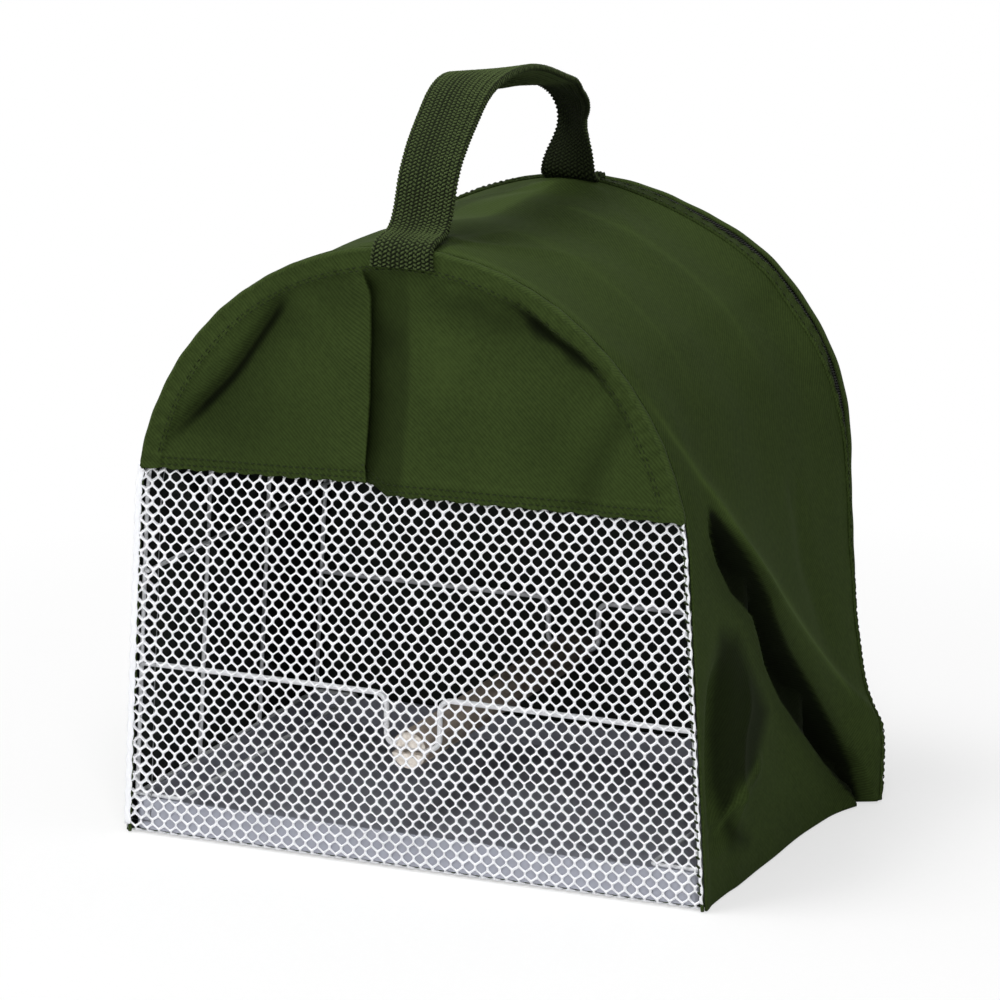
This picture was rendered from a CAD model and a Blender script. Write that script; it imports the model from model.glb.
import math

import bpy
import numpy as np
from bpy.props import FloatProperty, FloatVectorProperty, PointerProperty
from bpy.types import Operator, Panel, PropertyGroup
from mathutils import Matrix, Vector


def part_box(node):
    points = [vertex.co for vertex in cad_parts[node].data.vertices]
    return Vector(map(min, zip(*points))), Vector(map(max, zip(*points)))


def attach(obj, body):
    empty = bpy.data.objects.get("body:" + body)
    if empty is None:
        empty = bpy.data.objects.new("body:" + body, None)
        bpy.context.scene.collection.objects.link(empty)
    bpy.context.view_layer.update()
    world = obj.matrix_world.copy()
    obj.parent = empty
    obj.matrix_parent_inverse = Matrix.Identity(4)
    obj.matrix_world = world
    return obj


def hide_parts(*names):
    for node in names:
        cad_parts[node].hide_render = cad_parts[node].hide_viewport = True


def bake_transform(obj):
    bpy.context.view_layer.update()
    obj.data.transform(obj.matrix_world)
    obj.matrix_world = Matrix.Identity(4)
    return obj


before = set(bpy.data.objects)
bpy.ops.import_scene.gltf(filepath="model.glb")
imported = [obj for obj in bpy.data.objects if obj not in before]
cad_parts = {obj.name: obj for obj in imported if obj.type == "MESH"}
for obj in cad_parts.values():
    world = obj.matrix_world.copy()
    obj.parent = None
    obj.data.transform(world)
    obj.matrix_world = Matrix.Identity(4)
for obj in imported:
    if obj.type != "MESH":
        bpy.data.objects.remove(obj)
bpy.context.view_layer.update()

bl_info = {
    "name": "Bird Travel Carrier",
    "version": (1, 0, 0),
    "blender": (4, 5, 0),
    "location": "3D View > Sidebar > Carrier",
    "description": "Builds the cloth, net, zip, wires, perch and tray of a soft bird travel carrier",
    "category": "Object",
}

# The cover's outline seen from the front: an arch on two sides that lean in.
ARCH_R, ARCH_Z = 0.139, 0.154
LEAN = math.radians(3.26105)
TURN = math.pi / 2 - LEAN
ARCH_RUN = ARCH_R * TURN
RUN = ARCH_RUN + (ARCH_Z + ARCH_R * math.sin(LEAN)) / math.cos(LEAN)
SEAM_Y, HEM_Y = -0.0987, 0.0984
NET_TOP = 0.180
ZIP_Y = 0.101
MM = 0.001


# Shapes of the cloth.


def outline(run, out=0.0):
    """Place on the outline, run metres from the crown (right positive), and the way out there."""
    run = np.asarray(run, float)
    side = np.sign(run)
    turn = np.minimum(np.abs(run) / ARCH_R, TURN)
    drop = np.maximum(np.abs(run) - ARCH_RUN, 0)
    nx, nz = side * np.sin(turn), np.cos(turn)
    x = (ARCH_R + out) * nx + side * drop * math.sin(LEAN)
    z = ARCH_Z + (ARCH_R + out) * nz - drop * math.cos(LEAN)
    return x, z, nx, nz


def run_at(z):
    """Run along the outline from the crown to height z."""
    touch = ARCH_Z + ARCH_R * math.sin(LEAN)
    if z > touch:
        return ARCH_R * math.acos((z - ARCH_Z) / ARCH_R)
    return ARCH_RUN + (touch - z) / math.cos(LEAN)


def half_width(z, inset=0.0):
    """Half the cover's width at height z, on the straight sides and on the arch."""
    z = np.asarray(z, float)
    side = 0.148 - z * math.tan(LEAN) - inset / math.cos(LEAN)
    r = ARCH_R - inset
    arch = np.sqrt(np.maximum(r * r - (z - ARCH_Z) ** 2, 0))
    return np.where(z > ARCH_Z + r * math.sin(LEAN), arch, side)


def ease(t):
    t = np.clip(t, 0, 1)
    return t * t * (3 - 2 * t)


def hump(u, width):
    return np.exp(-((np.asarray(u, float) / width) ** 2))


def crest(u, width, soft=0.0012):
    """A ridge that falls off over width, rounded over soft."""
    return np.exp(-(np.sqrt(np.asarray(u, float) ** 2 + soft**2) - soft) / width)


def fold_line(*points):
    """A smooth line through points given in millimetres."""
    p = np.array(points, float) * MM
    run = np.concatenate([[0], np.cumsum(np.hypot(*(p[1:] - p[:-1]).T))])
    t = np.linspace(0, run[-1], 40)
    line = np.stack([np.interp(t, run, p[:, 0]), np.interp(t, run, p[:, 1])], 1)
    for _ in range(3):
        line[1:-1] = (line[:-2] + 2 * line[1:-1] + line[2:]) / 4
    return line


def from_line(a, b, line):
    """Distance of each place from a fold line (positive on its left), and the share of the way along."""
    best = np.full(np.shape(a), 1e9)
    share = np.zeros(np.shape(a))
    for i, (p, q) in enumerate(zip(line[:-1], line[1:])):
        d = q - p
        t = np.clip(((a - p[0]) * d[0] + (b - p[1]) * d[1]) / (d @ d), 0, 1)
        ra, rb = a - p[0] - t * d[0], b - p[1] - t * d[1]
        r = np.hypot(ra, rb)
        near = r < np.abs(best)
        best = np.where(near, np.where(d[0] * rb - d[1] * ra < 0, -r, r), best)
        share = np.where(near, (i + t) / (len(line) - 1), share)
    return best, share


def wrinkles(a, b, seed, size):
    """Small uneven waves, from -1 to 1."""
    rng = np.random.default_rng(seed)
    total = np.zeros(np.shape(a))
    for _ in range(7):
        angle, phase = rng.uniform(0, 2 * math.pi, 2)
        wave = size * rng.uniform(0.6, 1.8)
        total += np.sin((a * math.cos(angle) + b * math.sin(angle)) * 2 * math.pi / wave + phase)
    return total / 4


# Lines on the right side, as (run, y) where they are seen from the front right.
SEEN_LIP = ((176, -90), (193, -73.8), (204, -74.5), (219, -68), (236, -53.3), (253, -28.5), (263, -23.3), (280, -14.8),
            (302, 3.7), (324, 28.2), (345, 53.3), (365, 79.4), (378, 99.4))
SEEN_EDGE = ((176, -80), (193, -69.6), (206, -53.9), (221, -34.8), (236, -19.4), (250, -5.8), (259, -1), (279, 15.1),
             (306, 43.7), (331, 68.8), (356, 89.8), (378, 99.9))
SEEN_CREST = ((100, -99), (139, -93), (156, -87.4), (178, -74.4), (191, -61.5), (208, -43.8), (225, -22.5), (241, -2.7),
              (259, 17.4), (277, 37.8), (294, 58.9), (311, 80.3), (329, 102.2), (353, 122), (380, 140))
SEEN_HOLLOW = np.array(((250.6, -67.5), (257.2, -47.3), (276.9, -32.6), (301.1, -13.7), (312.9, -23.7),
                        (326.2, -33.8), (328.1, -55.4), (338.2, -65.0), (355.0, -45.7), (352.1, -66.5),
                        (336.2, -77.3), (317.5, -87.6), (293.8, -88.1), (272.4, -80.3))) * MM
HOLLOW = fold_line((252, -62), (273, -68), (289, -74), (316, -78), (345, -76), (368, -80))
SHELF = fold_line((270, -38), (292, -42), (304, -50), (329, -54), (352, -62))
NIP = fold_line((318, -22), (325, -35), (330, -50), (336, -70), (342, -88))
REAR_DIP = fold_line((190, 28), (215, 33), (243, 37), (269, 50), (296, 64))
LEFT_RIDGE = fold_line((146, -99), (185, -70), (228, -30), (270, 6), (318, 44), (366, 92))
LEFT_LIP = fold_line((196, -80), (232, -52), (262, -20), (296, 8), (332, 42), (373, 84))
LEFT_HOLLOW = fold_line((262, -72), (300, -76), (345, -70))
BRIGHT_FACE = np.array(((-28, 15), (-24, 34), (-18, 53), (-14, 77), (-2, 75), (-0.6, 48), (0.7, 22), (-0.6, -5), (-9, -25), (-20, -30))) * MM
DARK_FACE = np.array(((-5, -38), (0.6, -20), (1, 11), (2, 45), (9, 62), (19, 40), (21, 15), (18, 4), (16, -30), (11, -64))) * MM
# How a place that stands out from the cloth's plane moves along it, as seen from the front right.
SEEN_RUN, SEEN_Y = 0.605, 2.246


def at_run(run, line):
    """A line's y at each run."""
    line = np.array(line, float) * MM
    return np.interp(run, line[:, 0], line[:, 1])


def inside(a, b, ring, soft):
    """1 well inside the ring of points, 0 outside, eased over soft."""
    within = np.zeros(np.shape(a), bool)
    best = np.full(np.shape(a), 1e9)
    for p, q in zip(ring, np.roll(ring, -1, 0)):
        d = q - p
        t = np.clip(((a - p[0]) * d[0] + (b - p[1]) * d[1]) / (d @ d), 0, 1)
        best = np.minimum(best, np.hypot(a - p[0] - t * d[0], b - p[1] - t * d[1]))
        cross = (p[1] > b) != (q[1] > b)
        within ^= cross & (a < p[0] + (b - p[1]) * d[0] / (d[1] if d[1] else 1e-9))
    return ease(np.where(within, best, -best) / soft + 0.5)


def pulled(run, y):
    """The right side's large fold: its heights go from the lip of the pocket down, up its steep face and over the crest."""
    grow = ease((run - 0.165) / 0.060)
    top = 0.0095 * (0.12 + 0.88 * grow) * ease((run - 0.105) / 0.05)
    brow = 0.0018 * grow
    deep = 0.0110 * ease((run - 0.190) / 0.025)
    here = run + 0.004
    lip = at_run(run + 0.001, SEEN_LIP) - SEEN_Y * brow
    foot_top = 0.62 * top
    edge = at_run(run + 0.0035, SEEN_EDGE) - SEEN_Y * foot_top
    crest_y = np.minimum(at_run(here + 0.0015, SEEN_CREST), 0.150) - SEEN_Y * top
    crest_y = np.maximum(crest_y, edge + 0.0015)
    foot = edge - 0.0052
    lip = np.minimum(lip, foot - 0.0035)
    low = np.clip((y - lip) / (foot - lip), 0, 1)
    up = np.clip((y - foot) / (edge - foot), 0, 1)
    over = np.clip((y - edge) / (crest_y - edge), 0, 1)
    d = np.where(y < lip, brow * crest(lip - y, 0.020),
                 np.where(y < foot, brow - (brow + deep) * ease(low) ** 0.8,
                          np.where(y < edge, -deep + (deep + foot_top) * up,
                                   np.where(y < crest_y, foot_top + (top - foot_top) * np.sin(over * math.pi / 2),
                                            top * (0.35 * crest(y - crest_y, 0.006, 0.0010)
                                                   + 0.65 * crest(y - crest_y, 0.050, 0.002))))))
    shallow = top * (0.5 * crest(y - crest_y, 0.008, 0.001) + 0.5 * crest(y - crest_y, 0.03))
    blend = ease((run - 0.188) / 0.014)
    return shallow + (d - shallow) * blend, edge - 0.0026


def seen_shade(run, y, d):
    """The shade of the right side's folds, and the worn line on the crest (below zero), by where they are seen."""
    a, b = run + SEEN_RUN * d, y + SEEN_Y * d
    lip, edge, line = at_run(a, SEEN_LIP), at_run(a, SEEN_EDGE), at_run(a, SEEN_CREST)
    dark = ease((b - lip) / 0.0030 + 0.4) * (1 - ease((b - edge) / 0.0085 + 0.45)) * ease((a - 0.190) / 0.006)
    near = 0.30 * hump((b - lip).clip(None, 0), 0.012) * ease((a - 0.20) / 0.02) * (b < lip)
    under = 0.34 * (1 - ease((b - edge) / 0.016)) * (b >= edge) * ease((a - 0.200) / 0.02)
    hollow = 0.80 * inside(a, b, SEEN_HOLLOW, 0.016)
    u, t = from_line(a, b, NIP)
    nip = hump(u, 0.0018) * ease(t / 0.15) * ease((1 - t) / 0.15)
    worn = 0.42 * crest(b - line, 0.0022, 0.0006) * ease((a - 0.120) / 0.04) * (1 - ease((a - 0.300) / 0.035))
    return np.maximum.reduce([dark, near, under, hollow * (1 - 0.75 * nip)]) - worn - 0.25 * nip


def pocket(run, y, ridge, lip, height, depth):
    """A raised fold with a pocket under it: how far out, how deep in shade, how far it hangs over."""
    u, t = from_line(run, y, ridge)
    v, q = from_line(run, y, lip)
    ahead, behind = -u, v
    rise = height * ease(t / 0.45) * (1 - 0.25 * ease((t - 0.86) / 0.14))
    grow = ease(q / 0.1)
    w = np.where(ahead <= 0, 0, np.where(behind <= 0, 1, ahead / (np.abs(ahead) + np.abs(behind) + 1e-9)))
    down = ease((w - 0.42) / 0.26) * (1 - ease((w - 0.86) / 0.14))
    brow = 0.0016 * grow
    inside = rise * (1 - ease(w / 0.72)) + brow * ease((w - 0.86) / 0.14) - depth * grow * down
    d = np.where(w <= 0, rise * (0.4 * crest(ahead, 0.012, 0.004) + 0.6 * crest(ahead, 0.036, 0.006)),
                 np.where(w >= 1, brow * crest(behind, 0.014), inside))
    hang = rise / max(height, 1e-6) * hump(ahead - 0.001, 0.007) * ease(t / 0.3)
    return d, down * grow * (0.35 + 0.65 * ease(t / 0.2)), hang


def wire_room(run, y, z_gap=0.0014):
    """How far in the cloth may hang before it meets a wire or the tray."""
    room = np.full(np.shape(run), 0.030)
    for hoop_y in (-0.096, -0.032, 0.032, 0.096):
        room = np.minimum(room, z_gap + 0.85 * np.maximum(np.abs(y - hoop_y) - 0.002, 0))
    room = np.minimum(room, 0.0032 + 0.85 * np.maximum(np.abs(run - 0.2444) - 0.002, 0))
    room = np.minimum(room, 0.0012 + 0.85 * np.maximum(0.352 - run, 0))
    return room


def cover_folds(run, y, strength=1.0):
    """The gusset's folds: how far the cloth stands out, its shade in the folds, and its sideways pull."""
    side = np.abs(run)
    right = run > 0
    d = np.zeros(np.shape(run))
    dark = np.zeros(np.shape(run))
    # The cloth hangs a little between the hoops, and is tugged up where the handle is sewn.
    for mid, dip in ((-0.064, 0.0016), (0.0, 0.0022), (0.064, 0.0018)):
        d -= dip * hump(y - mid, 0.023) * (1 - 0.55 * ease((side - 0.14) / 0.1))
    top = 1 - ease((side - 0.10) / 0.05)
    for root_y in (-0.083, 0.083):
        span = np.hypot(run * 0.55, y - root_y)
        d += 0.0022 * hump(span, 0.016) * top
        for k, lean in enumerate((-0.85, -0.3, 0.35, 0.9)):
            away = np.sign(root_y) * -1
            course = (y - root_y) * away
            off = run - course * lean - 0.004 * k
            d += 0.0011 * crest(off, 0.006) * ease(course / 0.01) * (1 - ease((course - 0.03) / 0.04))
    # Over the hoops the cloth is rubbed paler; by the rear root it is pulled into a bright face with a dark one under it.
    rubbed = ease((run - 0.008) / 0.02) * (1 - ease((run - 0.110) / 0.05))
    dark -= 0.10 * crest(y + 0.034 + 0.10 * (run - 0.03).clip(0, None), 0.0022) * rubbed
    dark -= 0.16 * crest(y - 0.032, 0.0026) * rubbed
    dark -= 0.16 * crest(y + 0.0945, 0.0016) * (1 - ease((np.abs(run - 0.04) - 0.05) / 0.03))
    dark -= 0.24 * inside(run, y, BRIGHT_FACE, 0.006)
    dark += 0.24 * inside(run, y, DARK_FACE, 0.014)
    # A bend over the shoulder of the arch.
    bend = side - 0.117 + 0.05 * (y + 0.03)
    d += 0.0013 * crest(bend, 0.016, 0.003)
    dr, _ = pulled(side, y)
    dl, kl, hl = pocket(side, y, LEFT_RIDGE, LEFT_LIP, 0.0068, 0.0085)
    d += np.where(right, dr, dl)
    dark += np.where(right, 0, 0.6 * kl)
    hang = np.where(right, 0, hl)
    u, t = from_line(side, y, HOLLOW)
    soft = ease(t / 0.25) * (1 - 0.5 * ease((t - 0.8) / 0.2))
    hollow = soft * hump(u, 0.011)
    ul, tl = from_line(side, y, LEFT_HOLLOW)
    hollow = np.where(right, hollow, 0.6 * hump(ul, 0.012) * ease(tl / 0.3))
    d -= 0.0075 * hollow
    dark += np.where(right, 0, 0.75 * hollow)
    u, t = from_line(side, y, SHELF)
    d += np.where(right, 0.0032 * crest(u, 0.007) * ease(t / 0.3) * (1 - ease((t - 0.75) / 0.25)), 0)
    u, t = from_line(side, y, NIP)
    d += np.where(right, 0.0030 * crest(u, 0.0040, 0.0008) * ease(t / 0.2) * ease((1 - t) / 0.2), 0)
    u, t = from_line(side, y, REAR_DIP)
    d -= 0.0022 * hump(u, 0.009) * ease(t / 0.2) * (1 - ease((t - 0.7) / 0.3))
    d += 0.0004 * wrinkles(run, y, 5, 0.045) * ease((side - 0.05) / 0.1)
    # The cloth stands out at its rear edge, most of all at the lower corner.
    rear = np.maximum(hump(y - 0.086, 0.030), hump(y - 0.092, 0.012)) * ease((side - 0.120) / 0.06)
    d += np.where(right, 0.0045, 0.0030) * rear
    arch = (1 - ease((side - 0.140) / 0.05)) * ease((side - 0.050) / 0.060)
    d += 0.0032 * hump(np.minimum(y - 0.0985, 0), 0.020) * arch
    d += np.where(right, 0.0050, 0.0) * hump(y - 0.086, 0.016) * ease((side - 0.300) / 0.060)
    keep = ease((y - SEAM_Y) / 0.010) * np.maximum(ease((0.0972 - y) / 0.007), arch)
    d = d * strength * keep
    room = wire_room(side, y)
    d = np.where(d < 0, -room * np.tanh(-d / room), d)
    d = np.maximum(d, -room)
    dark = np.where(dark < 0, dark, dark * keep) + np.where(right, seen_shade(side, y, d), 0)
    return d, np.clip(dark, -1, 1), hang * keep * strength


def cover_place(run, y, out=0.0):
    """Where a point of the gusset lies, with its folds."""
    d, dark, hang = cover_folds(run, y, bpy.context.scene.carrier_sizes.fold_strength)
    pull = 0.0045 * hang
    x, z, nx, nz = outline(run + np.sign(run) * pull * 0.72, 0)
    d = d + out
    return np.stack([x + nx * d, y - pull * 0.7, z + nz * d], -1), dark


LEFT_CREASE = fold_line((-57, 272), (-63, 265), (-78, 244), (-91, 226), (-104, 213), (-130, 187))
RIGHT_CREASE = fold_line((46, 279), (55, 274), (67, 262), (84, 252), (101, 241), (114, 226))
SHADE_STEP = fold_line((116, 236), (112, 222), (103, 206), (97, 192), (93, 178))


def pleat_left(z):
    return np.interp(z, np.array([150, 179, 189, 222, 249, 281]) * MM,
                     np.array([-22, -23.5, -24.5, -22, -21, -21]) * MM)


def pleat_right(z):
    return np.interp(z, np.array([150, 181, 223, 269, 286]) * MM, np.array([-3, -1, 3.5, 4.5, 2]) * MM)


def edge_rise(x):
    """How much higher or lower than NET_TOP the panel's lower edge lies: it steps down at the pleat."""
    return np.interp(x, np.array([-137, -60, -23, -19, -10, 60, 137]) * MM, np.array([-0.9, 1.2, 2.8, 2.6, -2.2, -1.4, -0.9]) * MM)


def front_folds(x, z, step=0.0010):
    """The front's folds, on the panel and fading down the net: how far out, and the shade in them. step is how wide the pleat's left step is."""
    low = 1 - ease((0.178 - z) / 0.035)
    d = np.zeros(np.shape(x))
    dark = np.zeros(np.shape(x))
    left, right = pleat_left(z), pleat_right(z)
    t = (x - left) / (right - left)
    stand = np.where(x < left, 0.0012 * crest(left - x, 0.012),
                     np.where(t > 1, 0.0016 * crest(x - right, 0.014, 0.0006),
                              -0.0066 + 0.0082 * np.clip(t, 0, 1) + 0.0078 * (1 - ease((x - left) / step))))
    full = low * (1 - ease((z - 0.270) / 0.014)) * (0.40 + 0.60 * ease((z - 0.182) / 0.018))
    d += stand * full
    band = ease((x - left) / 0.001) * (1 - ease((t - 0.86) / 0.20))
    dark += 0.62 * band * (1 - 0.42 * t.clip(0, 1)) * low * (1 - 0.5 * ease((z - 0.250) / 0.03)) * ease((z - 0.168) / 0.012)
    upper = ease((z - 0.176) / 0.006)
    u, t = from_line(x, z, LEFT_CREASE)
    swell = ease(t / 0.18) * (1 - ease((t - 0.66) / 0.34))
    d -= upper * 0.0062 * swell * np.where(u > 0, crest(u, 0.020, 0.0010), crest(u, 0.0022, 0.0007))
    d += upper * 0.0010 * swell * hump(u + 0.009, 0.006)
    dark += upper * swell * np.maximum(0.98 * hump(u - 0.0022, 0.0032), np.where(u > 0, 0.36 * crest(u, 0.026), 0))
    u, t = from_line(x, z, RIGHT_CREASE)
    swell = ease(t / 0.3) * (1 - ease((t - 0.6) / 0.4))
    d -= upper * 0.0050 * swell * np.where(u < 0, crest(u, 0.013, 0.0006), crest(u, 0.0014, 0.0004))
    dark += upper * swell * np.maximum(0.95 * hump(u + 0.0030, 0.0038 * (1 + 0.3 * np.sin(t * 26))), np.where(u < 0, 0.36 * crest(u, 0.018), 0))
    u, t = from_line(x, z, SHADE_STEP)
    d += upper * 0.0028 * (ease((u + 0.006) / 0.012) - 0.5) * hump(u, 0.030) * ease(t / 0.2)
    dark += upper * 0.36 * hump(u + 0.006, 0.009) * ease(t / 0.25)
    for cx, cz, wide, tall, much in ((-34, 270, 16, 13, 0.30), (33, 270, 20, 7, 0.40), (44, 262, 14, 6, 0.30), (70, 205, 16, 26, 0.14),
                                     (-80, 205, 26, 20, 0.14), (28, 205, 16, 16, 0.10), (-8, 250, 9, 9, 0.16)):
        dark += upper * much * hump(x - cx * MM, wide * MM) * hump(z - cz * MM, tall * MM)
    for cx, cz, wide, tall, much in ((18, 240, 12, 22, 0.10), (50, 232, 22, 16, 0.08), (-45, 240, 14, 20, 0.08)):
        dark -= upper * much * hump(x - cx * MM, wide * MM) * hump(z - cz * MM, tall * MM)
    d += 0.0005 * wrinkles(x, z, 11, 0.06)
    edge = half_width(z, 0.003) - np.abs(x)
    top = ARCH_R - 0.003 - np.hypot(x, z - ARCH_Z)
    inner = np.where(z > 0.162, np.minimum(edge, top), edge)
    keep = ease(inner / 0.010)
    return d * keep, np.clip(dark, -1, 1) * ease((inner - 0.003) / 0.006)


# Making and finishing a piece.


def alone(obj):
    """Selects this object and nothing else."""
    bpy.ops.object.select_all(action="DESELECT")
    obj.select_set(True)
    bpy.context.view_layer.objects.active = obj
    return obj


def rest(obj):
    """Puts the object's place into its mesh."""
    alone(obj)
    bpy.ops.object.transform_apply(location=True, rotation=True, scale=True)
    return obj


def named(obj, name):
    obj.name = name
    obj.data.name = name
    return obj


def modify(obj, kind, **settings):
    """Adds a modifier and applies it."""
    alone(obj)
    modifier = obj.modifiers.new(kind.lower(), kind)
    for key, value in settings.items():
        setattr(modifier, key, value)
    bpy.ops.object.modifier_apply(modifier=modifier.name)
    return obj


def smooth(obj, angle=40):
    alone(obj)
    bpy.ops.object.shade_smooth_by_angle(angle=math.radians(angle))
    return obj


def tidy(obj, gap=1e-6, outward=True):
    """Merges doubled vertices and turns all faces outward."""
    alone(obj)
    bpy.ops.object.mode_set(mode="EDIT")
    bpy.ops.mesh.select_all(action="SELECT")
    bpy.ops.mesh.remove_doubles(threshold=gap)
    if outward:
        bpy.ops.mesh.normals_make_consistent(inside=False)
    bpy.ops.object.mode_set(mode="OBJECT")
    return obj


def paint_values(obj, **values):
    """Stores a number per vertex under each name."""
    for name, value in values.items():
        layer = obj.data.attributes.get(name) or obj.data.attributes.new(name, "FLOAT", "POINT")
        layer.data.foreach_set("value", np.asarray(value, np.float32).ravel())


def lay_pattern(obj, uv):
    """Gives each vertex its place on the flat cloth, in metres, as the piece's UV map."""
    mesh = obj.data
    layer = mesh.uv_layers.active or mesh.uv_layers.new(name="cloth")
    layer.name = "cloth"
    loops = np.empty(len(mesh.loops), np.int32)
    mesh.loops.foreach_get("vertex_index", loops)
    layer.data.foreach_set("uv", np.asarray(uv, np.float32).reshape(-1, 2)[loops].ravel())


def lattice(name, places, uv, thickness=0.0, offset=-1.0, lining=False, merge=0.0, **values):
    """A sheet whose grid of vertices is given, from one grid primitive, with its wall."""
    rows, columns = places.shape[:2]
    bpy.ops.object.select_all(action="DESELECT")
    bpy.ops.mesh.primitive_grid_add(x_subdivisions=columns - 1, y_subdivisions=rows - 1, size=1)
    obj = named(bpy.context.object, name)
    obj.data.vertices.foreach_set("co", np.ascontiguousarray(places, np.float32).ravel())
    lay_pattern(obj, uv)
    paint_values(obj, **values)
    obj.data.update()
    if merge:
        tidy(obj, merge, outward=False)
    if thickness:
        slots = {"material_offset": 1, "material_offset_rim": 0} if lining else {}
        if lining:
            obj.data.materials.append(None)
            obj.data.materials.append(None)
        modify(obj, "SOLIDIFY", thickness=thickness, offset=offset, use_even_offset=False, **slots)
    bpy.ops.object.shade_smooth()
    return obj


def faces_out(places, middle=(0, 0, 0.15)):
    """True if a grid's faces turn away from the middle."""
    i, j = places.shape[0] // 2, places.shape[1] // 4
    across = places[i, j + 1] - places[i, j]
    along = places[i + 1, j] - places[i, j]
    return float(np.dot(np.cross(across, along), places[i, j] - np.array(middle))) > 0


def sweep(name, rail, side, up, section, closed=True, lengths=None, tint=None, **values):
    """A solid that follows a rail with the given section; side and up are its directions at each place."""
    section = np.array(section, float)
    ring = np.concatenate([section, section[:1]]) if closed else section
    places = (rail[:, None] + side[:, None] * ring[None, :, 0, None] + up[:, None] * ring[None, :, 1, None])
    run = np.concatenate([[0], np.cumsum(np.linalg.norm(rail[1:] - rail[:-1], axis=1))]) if lengths is None else lengths
    around = np.concatenate([[0], np.cumsum(np.linalg.norm(ring[1:] - ring[:-1], axis=1))])
    uv = np.stack(np.broadcast_arrays(run[:, None], around[None]), -1)
    obj = lattice(name, places, uv, **values)
    if closed:
        tidy(obj, 1e-6)
        cap(obj)
        tidy(obj, 1e-7)
    bpy.ops.object.shade_smooth()
    return obj


def cap(obj):
    """Closes the open ends of a swept piece."""
    alone(obj)
    bpy.ops.object.mode_set(mode="EDIT")
    bpy.ops.mesh.select_mode(type="EDGE")
    bpy.ops.mesh.select_all(action="DESELECT")
    bpy.ops.mesh.select_non_manifold(extend=False, use_wire=False, use_multi_face=False,
                                     use_non_contiguous=False, use_verts=False)
    bpy.ops.mesh.fill_holes(sides=0)
    bpy.ops.mesh.select_mode(type="VERT")
    bpy.ops.object.mode_set(mode="OBJECT")


def copies(name, shape, faces, places, frames):
    """One mesh with a copy of a small shape at each place, turned by each frame."""
    shape, places, frames = np.array(shape, float), np.asarray(places, float), np.asarray(frames, float)
    all_places = places[:, None] + np.einsum("nij,kj->nki", frames, shape)
    count, size = len(places), len(shape)
    mesh = bpy.data.meshes.new(name)
    listed = [tuple(v + i * size for v in f) for i in range(count) for f in faces]
    mesh.from_pydata(all_places.reshape(-1, 3).tolist(), [], listed)
    obj = bpy.data.objects.new(name, mesh)
    bpy.context.collection.objects.link(obj)
    alone(obj)
    tidy(obj, 0.0)
    bpy.ops.object.shade_smooth()
    return obj


def stitch_shape(length, radius):
    """A stitch of thread: a short rounded bead that dips into the cloth at both ends."""
    rings, sides = 6, 6
    points, faces = [], []
    for i in range(rings):
        t = i / (rings - 1) * 2 - 1
        r = radius * math.sqrt(max(1 - t**4, 0.02))
        for k in range(sides):
            a = 2 * math.pi * k / sides
            points.append((t * length / 2, r * math.cos(a), r * math.sin(a) - radius * 1.1 * t * t))
    for i in range(rings - 1):
        for k in range(sides):
            n = (k + 1) % sides
            faces.append((i * sides + k, i * sides + n, (i + 1) * sides + n, (i + 1) * sides + k))
    faces.append(tuple(range(sides))[::-1])
    faces.append(tuple((rings - 1) * sides + k for k in range(sides)))
    return points, faces


def stitches(name, line, out, length=0.0024, gap=0.0010, radius=0.00032, skew=0.0, lift=0.0001):
    """A row of stitches along a line, lying on a surface whose outward direction is given at each place."""
    line, out = np.asarray(line, float), np.asarray(out, float)
    run = np.concatenate([[0], np.cumsum(np.linalg.norm(line[1:] - line[:-1], axis=1))])
    middles = np.arange(length / 2 + gap, run[-1] - length / 2, length + gap)
    at = lambda data, t: np.stack([np.interp(t, run, data[:, k]) for k in range(3)], 1)
    places, ups = at(line, middles), at(out, middles)
    along = at(line, middles + 0.0004) - at(line, middles - 0.0004)
    along /= np.linalg.norm(along, axis=1, keepdims=True)
    ups -= along * np.sum(ups * along, 1, keepdims=True)
    ups /= np.linalg.norm(ups, axis=1, keepdims=True)
    across = np.cross(ups, along)
    turned = along * math.cos(skew) + across * math.sin(skew)
    frames = np.stack([turned, np.cross(ups, turned), ups], -1)
    shape, faces = stitch_shape(length, radius)
    return copies(name, shape, faces, places + ups * (radius * 0.35 + lift), frames)


def tube(name, points, radius, sides=3):
    """A wire: a curve through the points with a round section, made a mesh."""
    curve = bpy.data.curves.new(name, "CURVE")
    curve.dimensions = "3D"
    curve.bevel_depth = radius
    curve.bevel_resolution = sides
    curve.use_fill_caps = True
    spline = curve.splines.new("POLY")
    spline.points.add(len(points) - 1)
    spline.points.foreach_set("co", np.column_stack([np.asarray(points, float), np.ones(len(points))]).ravel())
    obj = bpy.data.objects.new(name, curve)
    bpy.context.collection.objects.link(obj)
    alone(obj)
    bpy.ops.object.convert(target="MESH")
    obj = named(bpy.context.object, name)
    tidy(obj, 1e-7)
    return smooth(obj, 50)


def joined(name, *objs):
    """Several objects made one."""
    bpy.ops.object.select_all(action="DESELECT")
    for o in objs:
        o.select_set(True)
    bpy.context.view_layer.objects.active = objs[0]
    bpy.ops.object.join()
    return named(bpy.context.object, name)


def rounded(points, radius, steps=6):
    """A path of straight runs with its corners rounded."""
    p = [Vector(q) for q in points]
    path = [p[0]]
    for a, b, c in zip(p[:-2], p[1:-1], p[2:]):
        u, v = (a - b).normalized(), (c - b).normalized()
        angle = u.angle(v)
        reach = radius / math.tan(angle / 2)
        middle = b + (u + v).normalized() * radius / math.sin(angle / 2)
        start, end = (b + u * reach - middle).normalized(), (b + v * reach - middle).normalized()
        for k in range(steps + 1):
            path.append(middle + start.slerp(end, k / steps) * radius)
    path.append(p[-1])
    return [tuple(q) for q in path]


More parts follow.
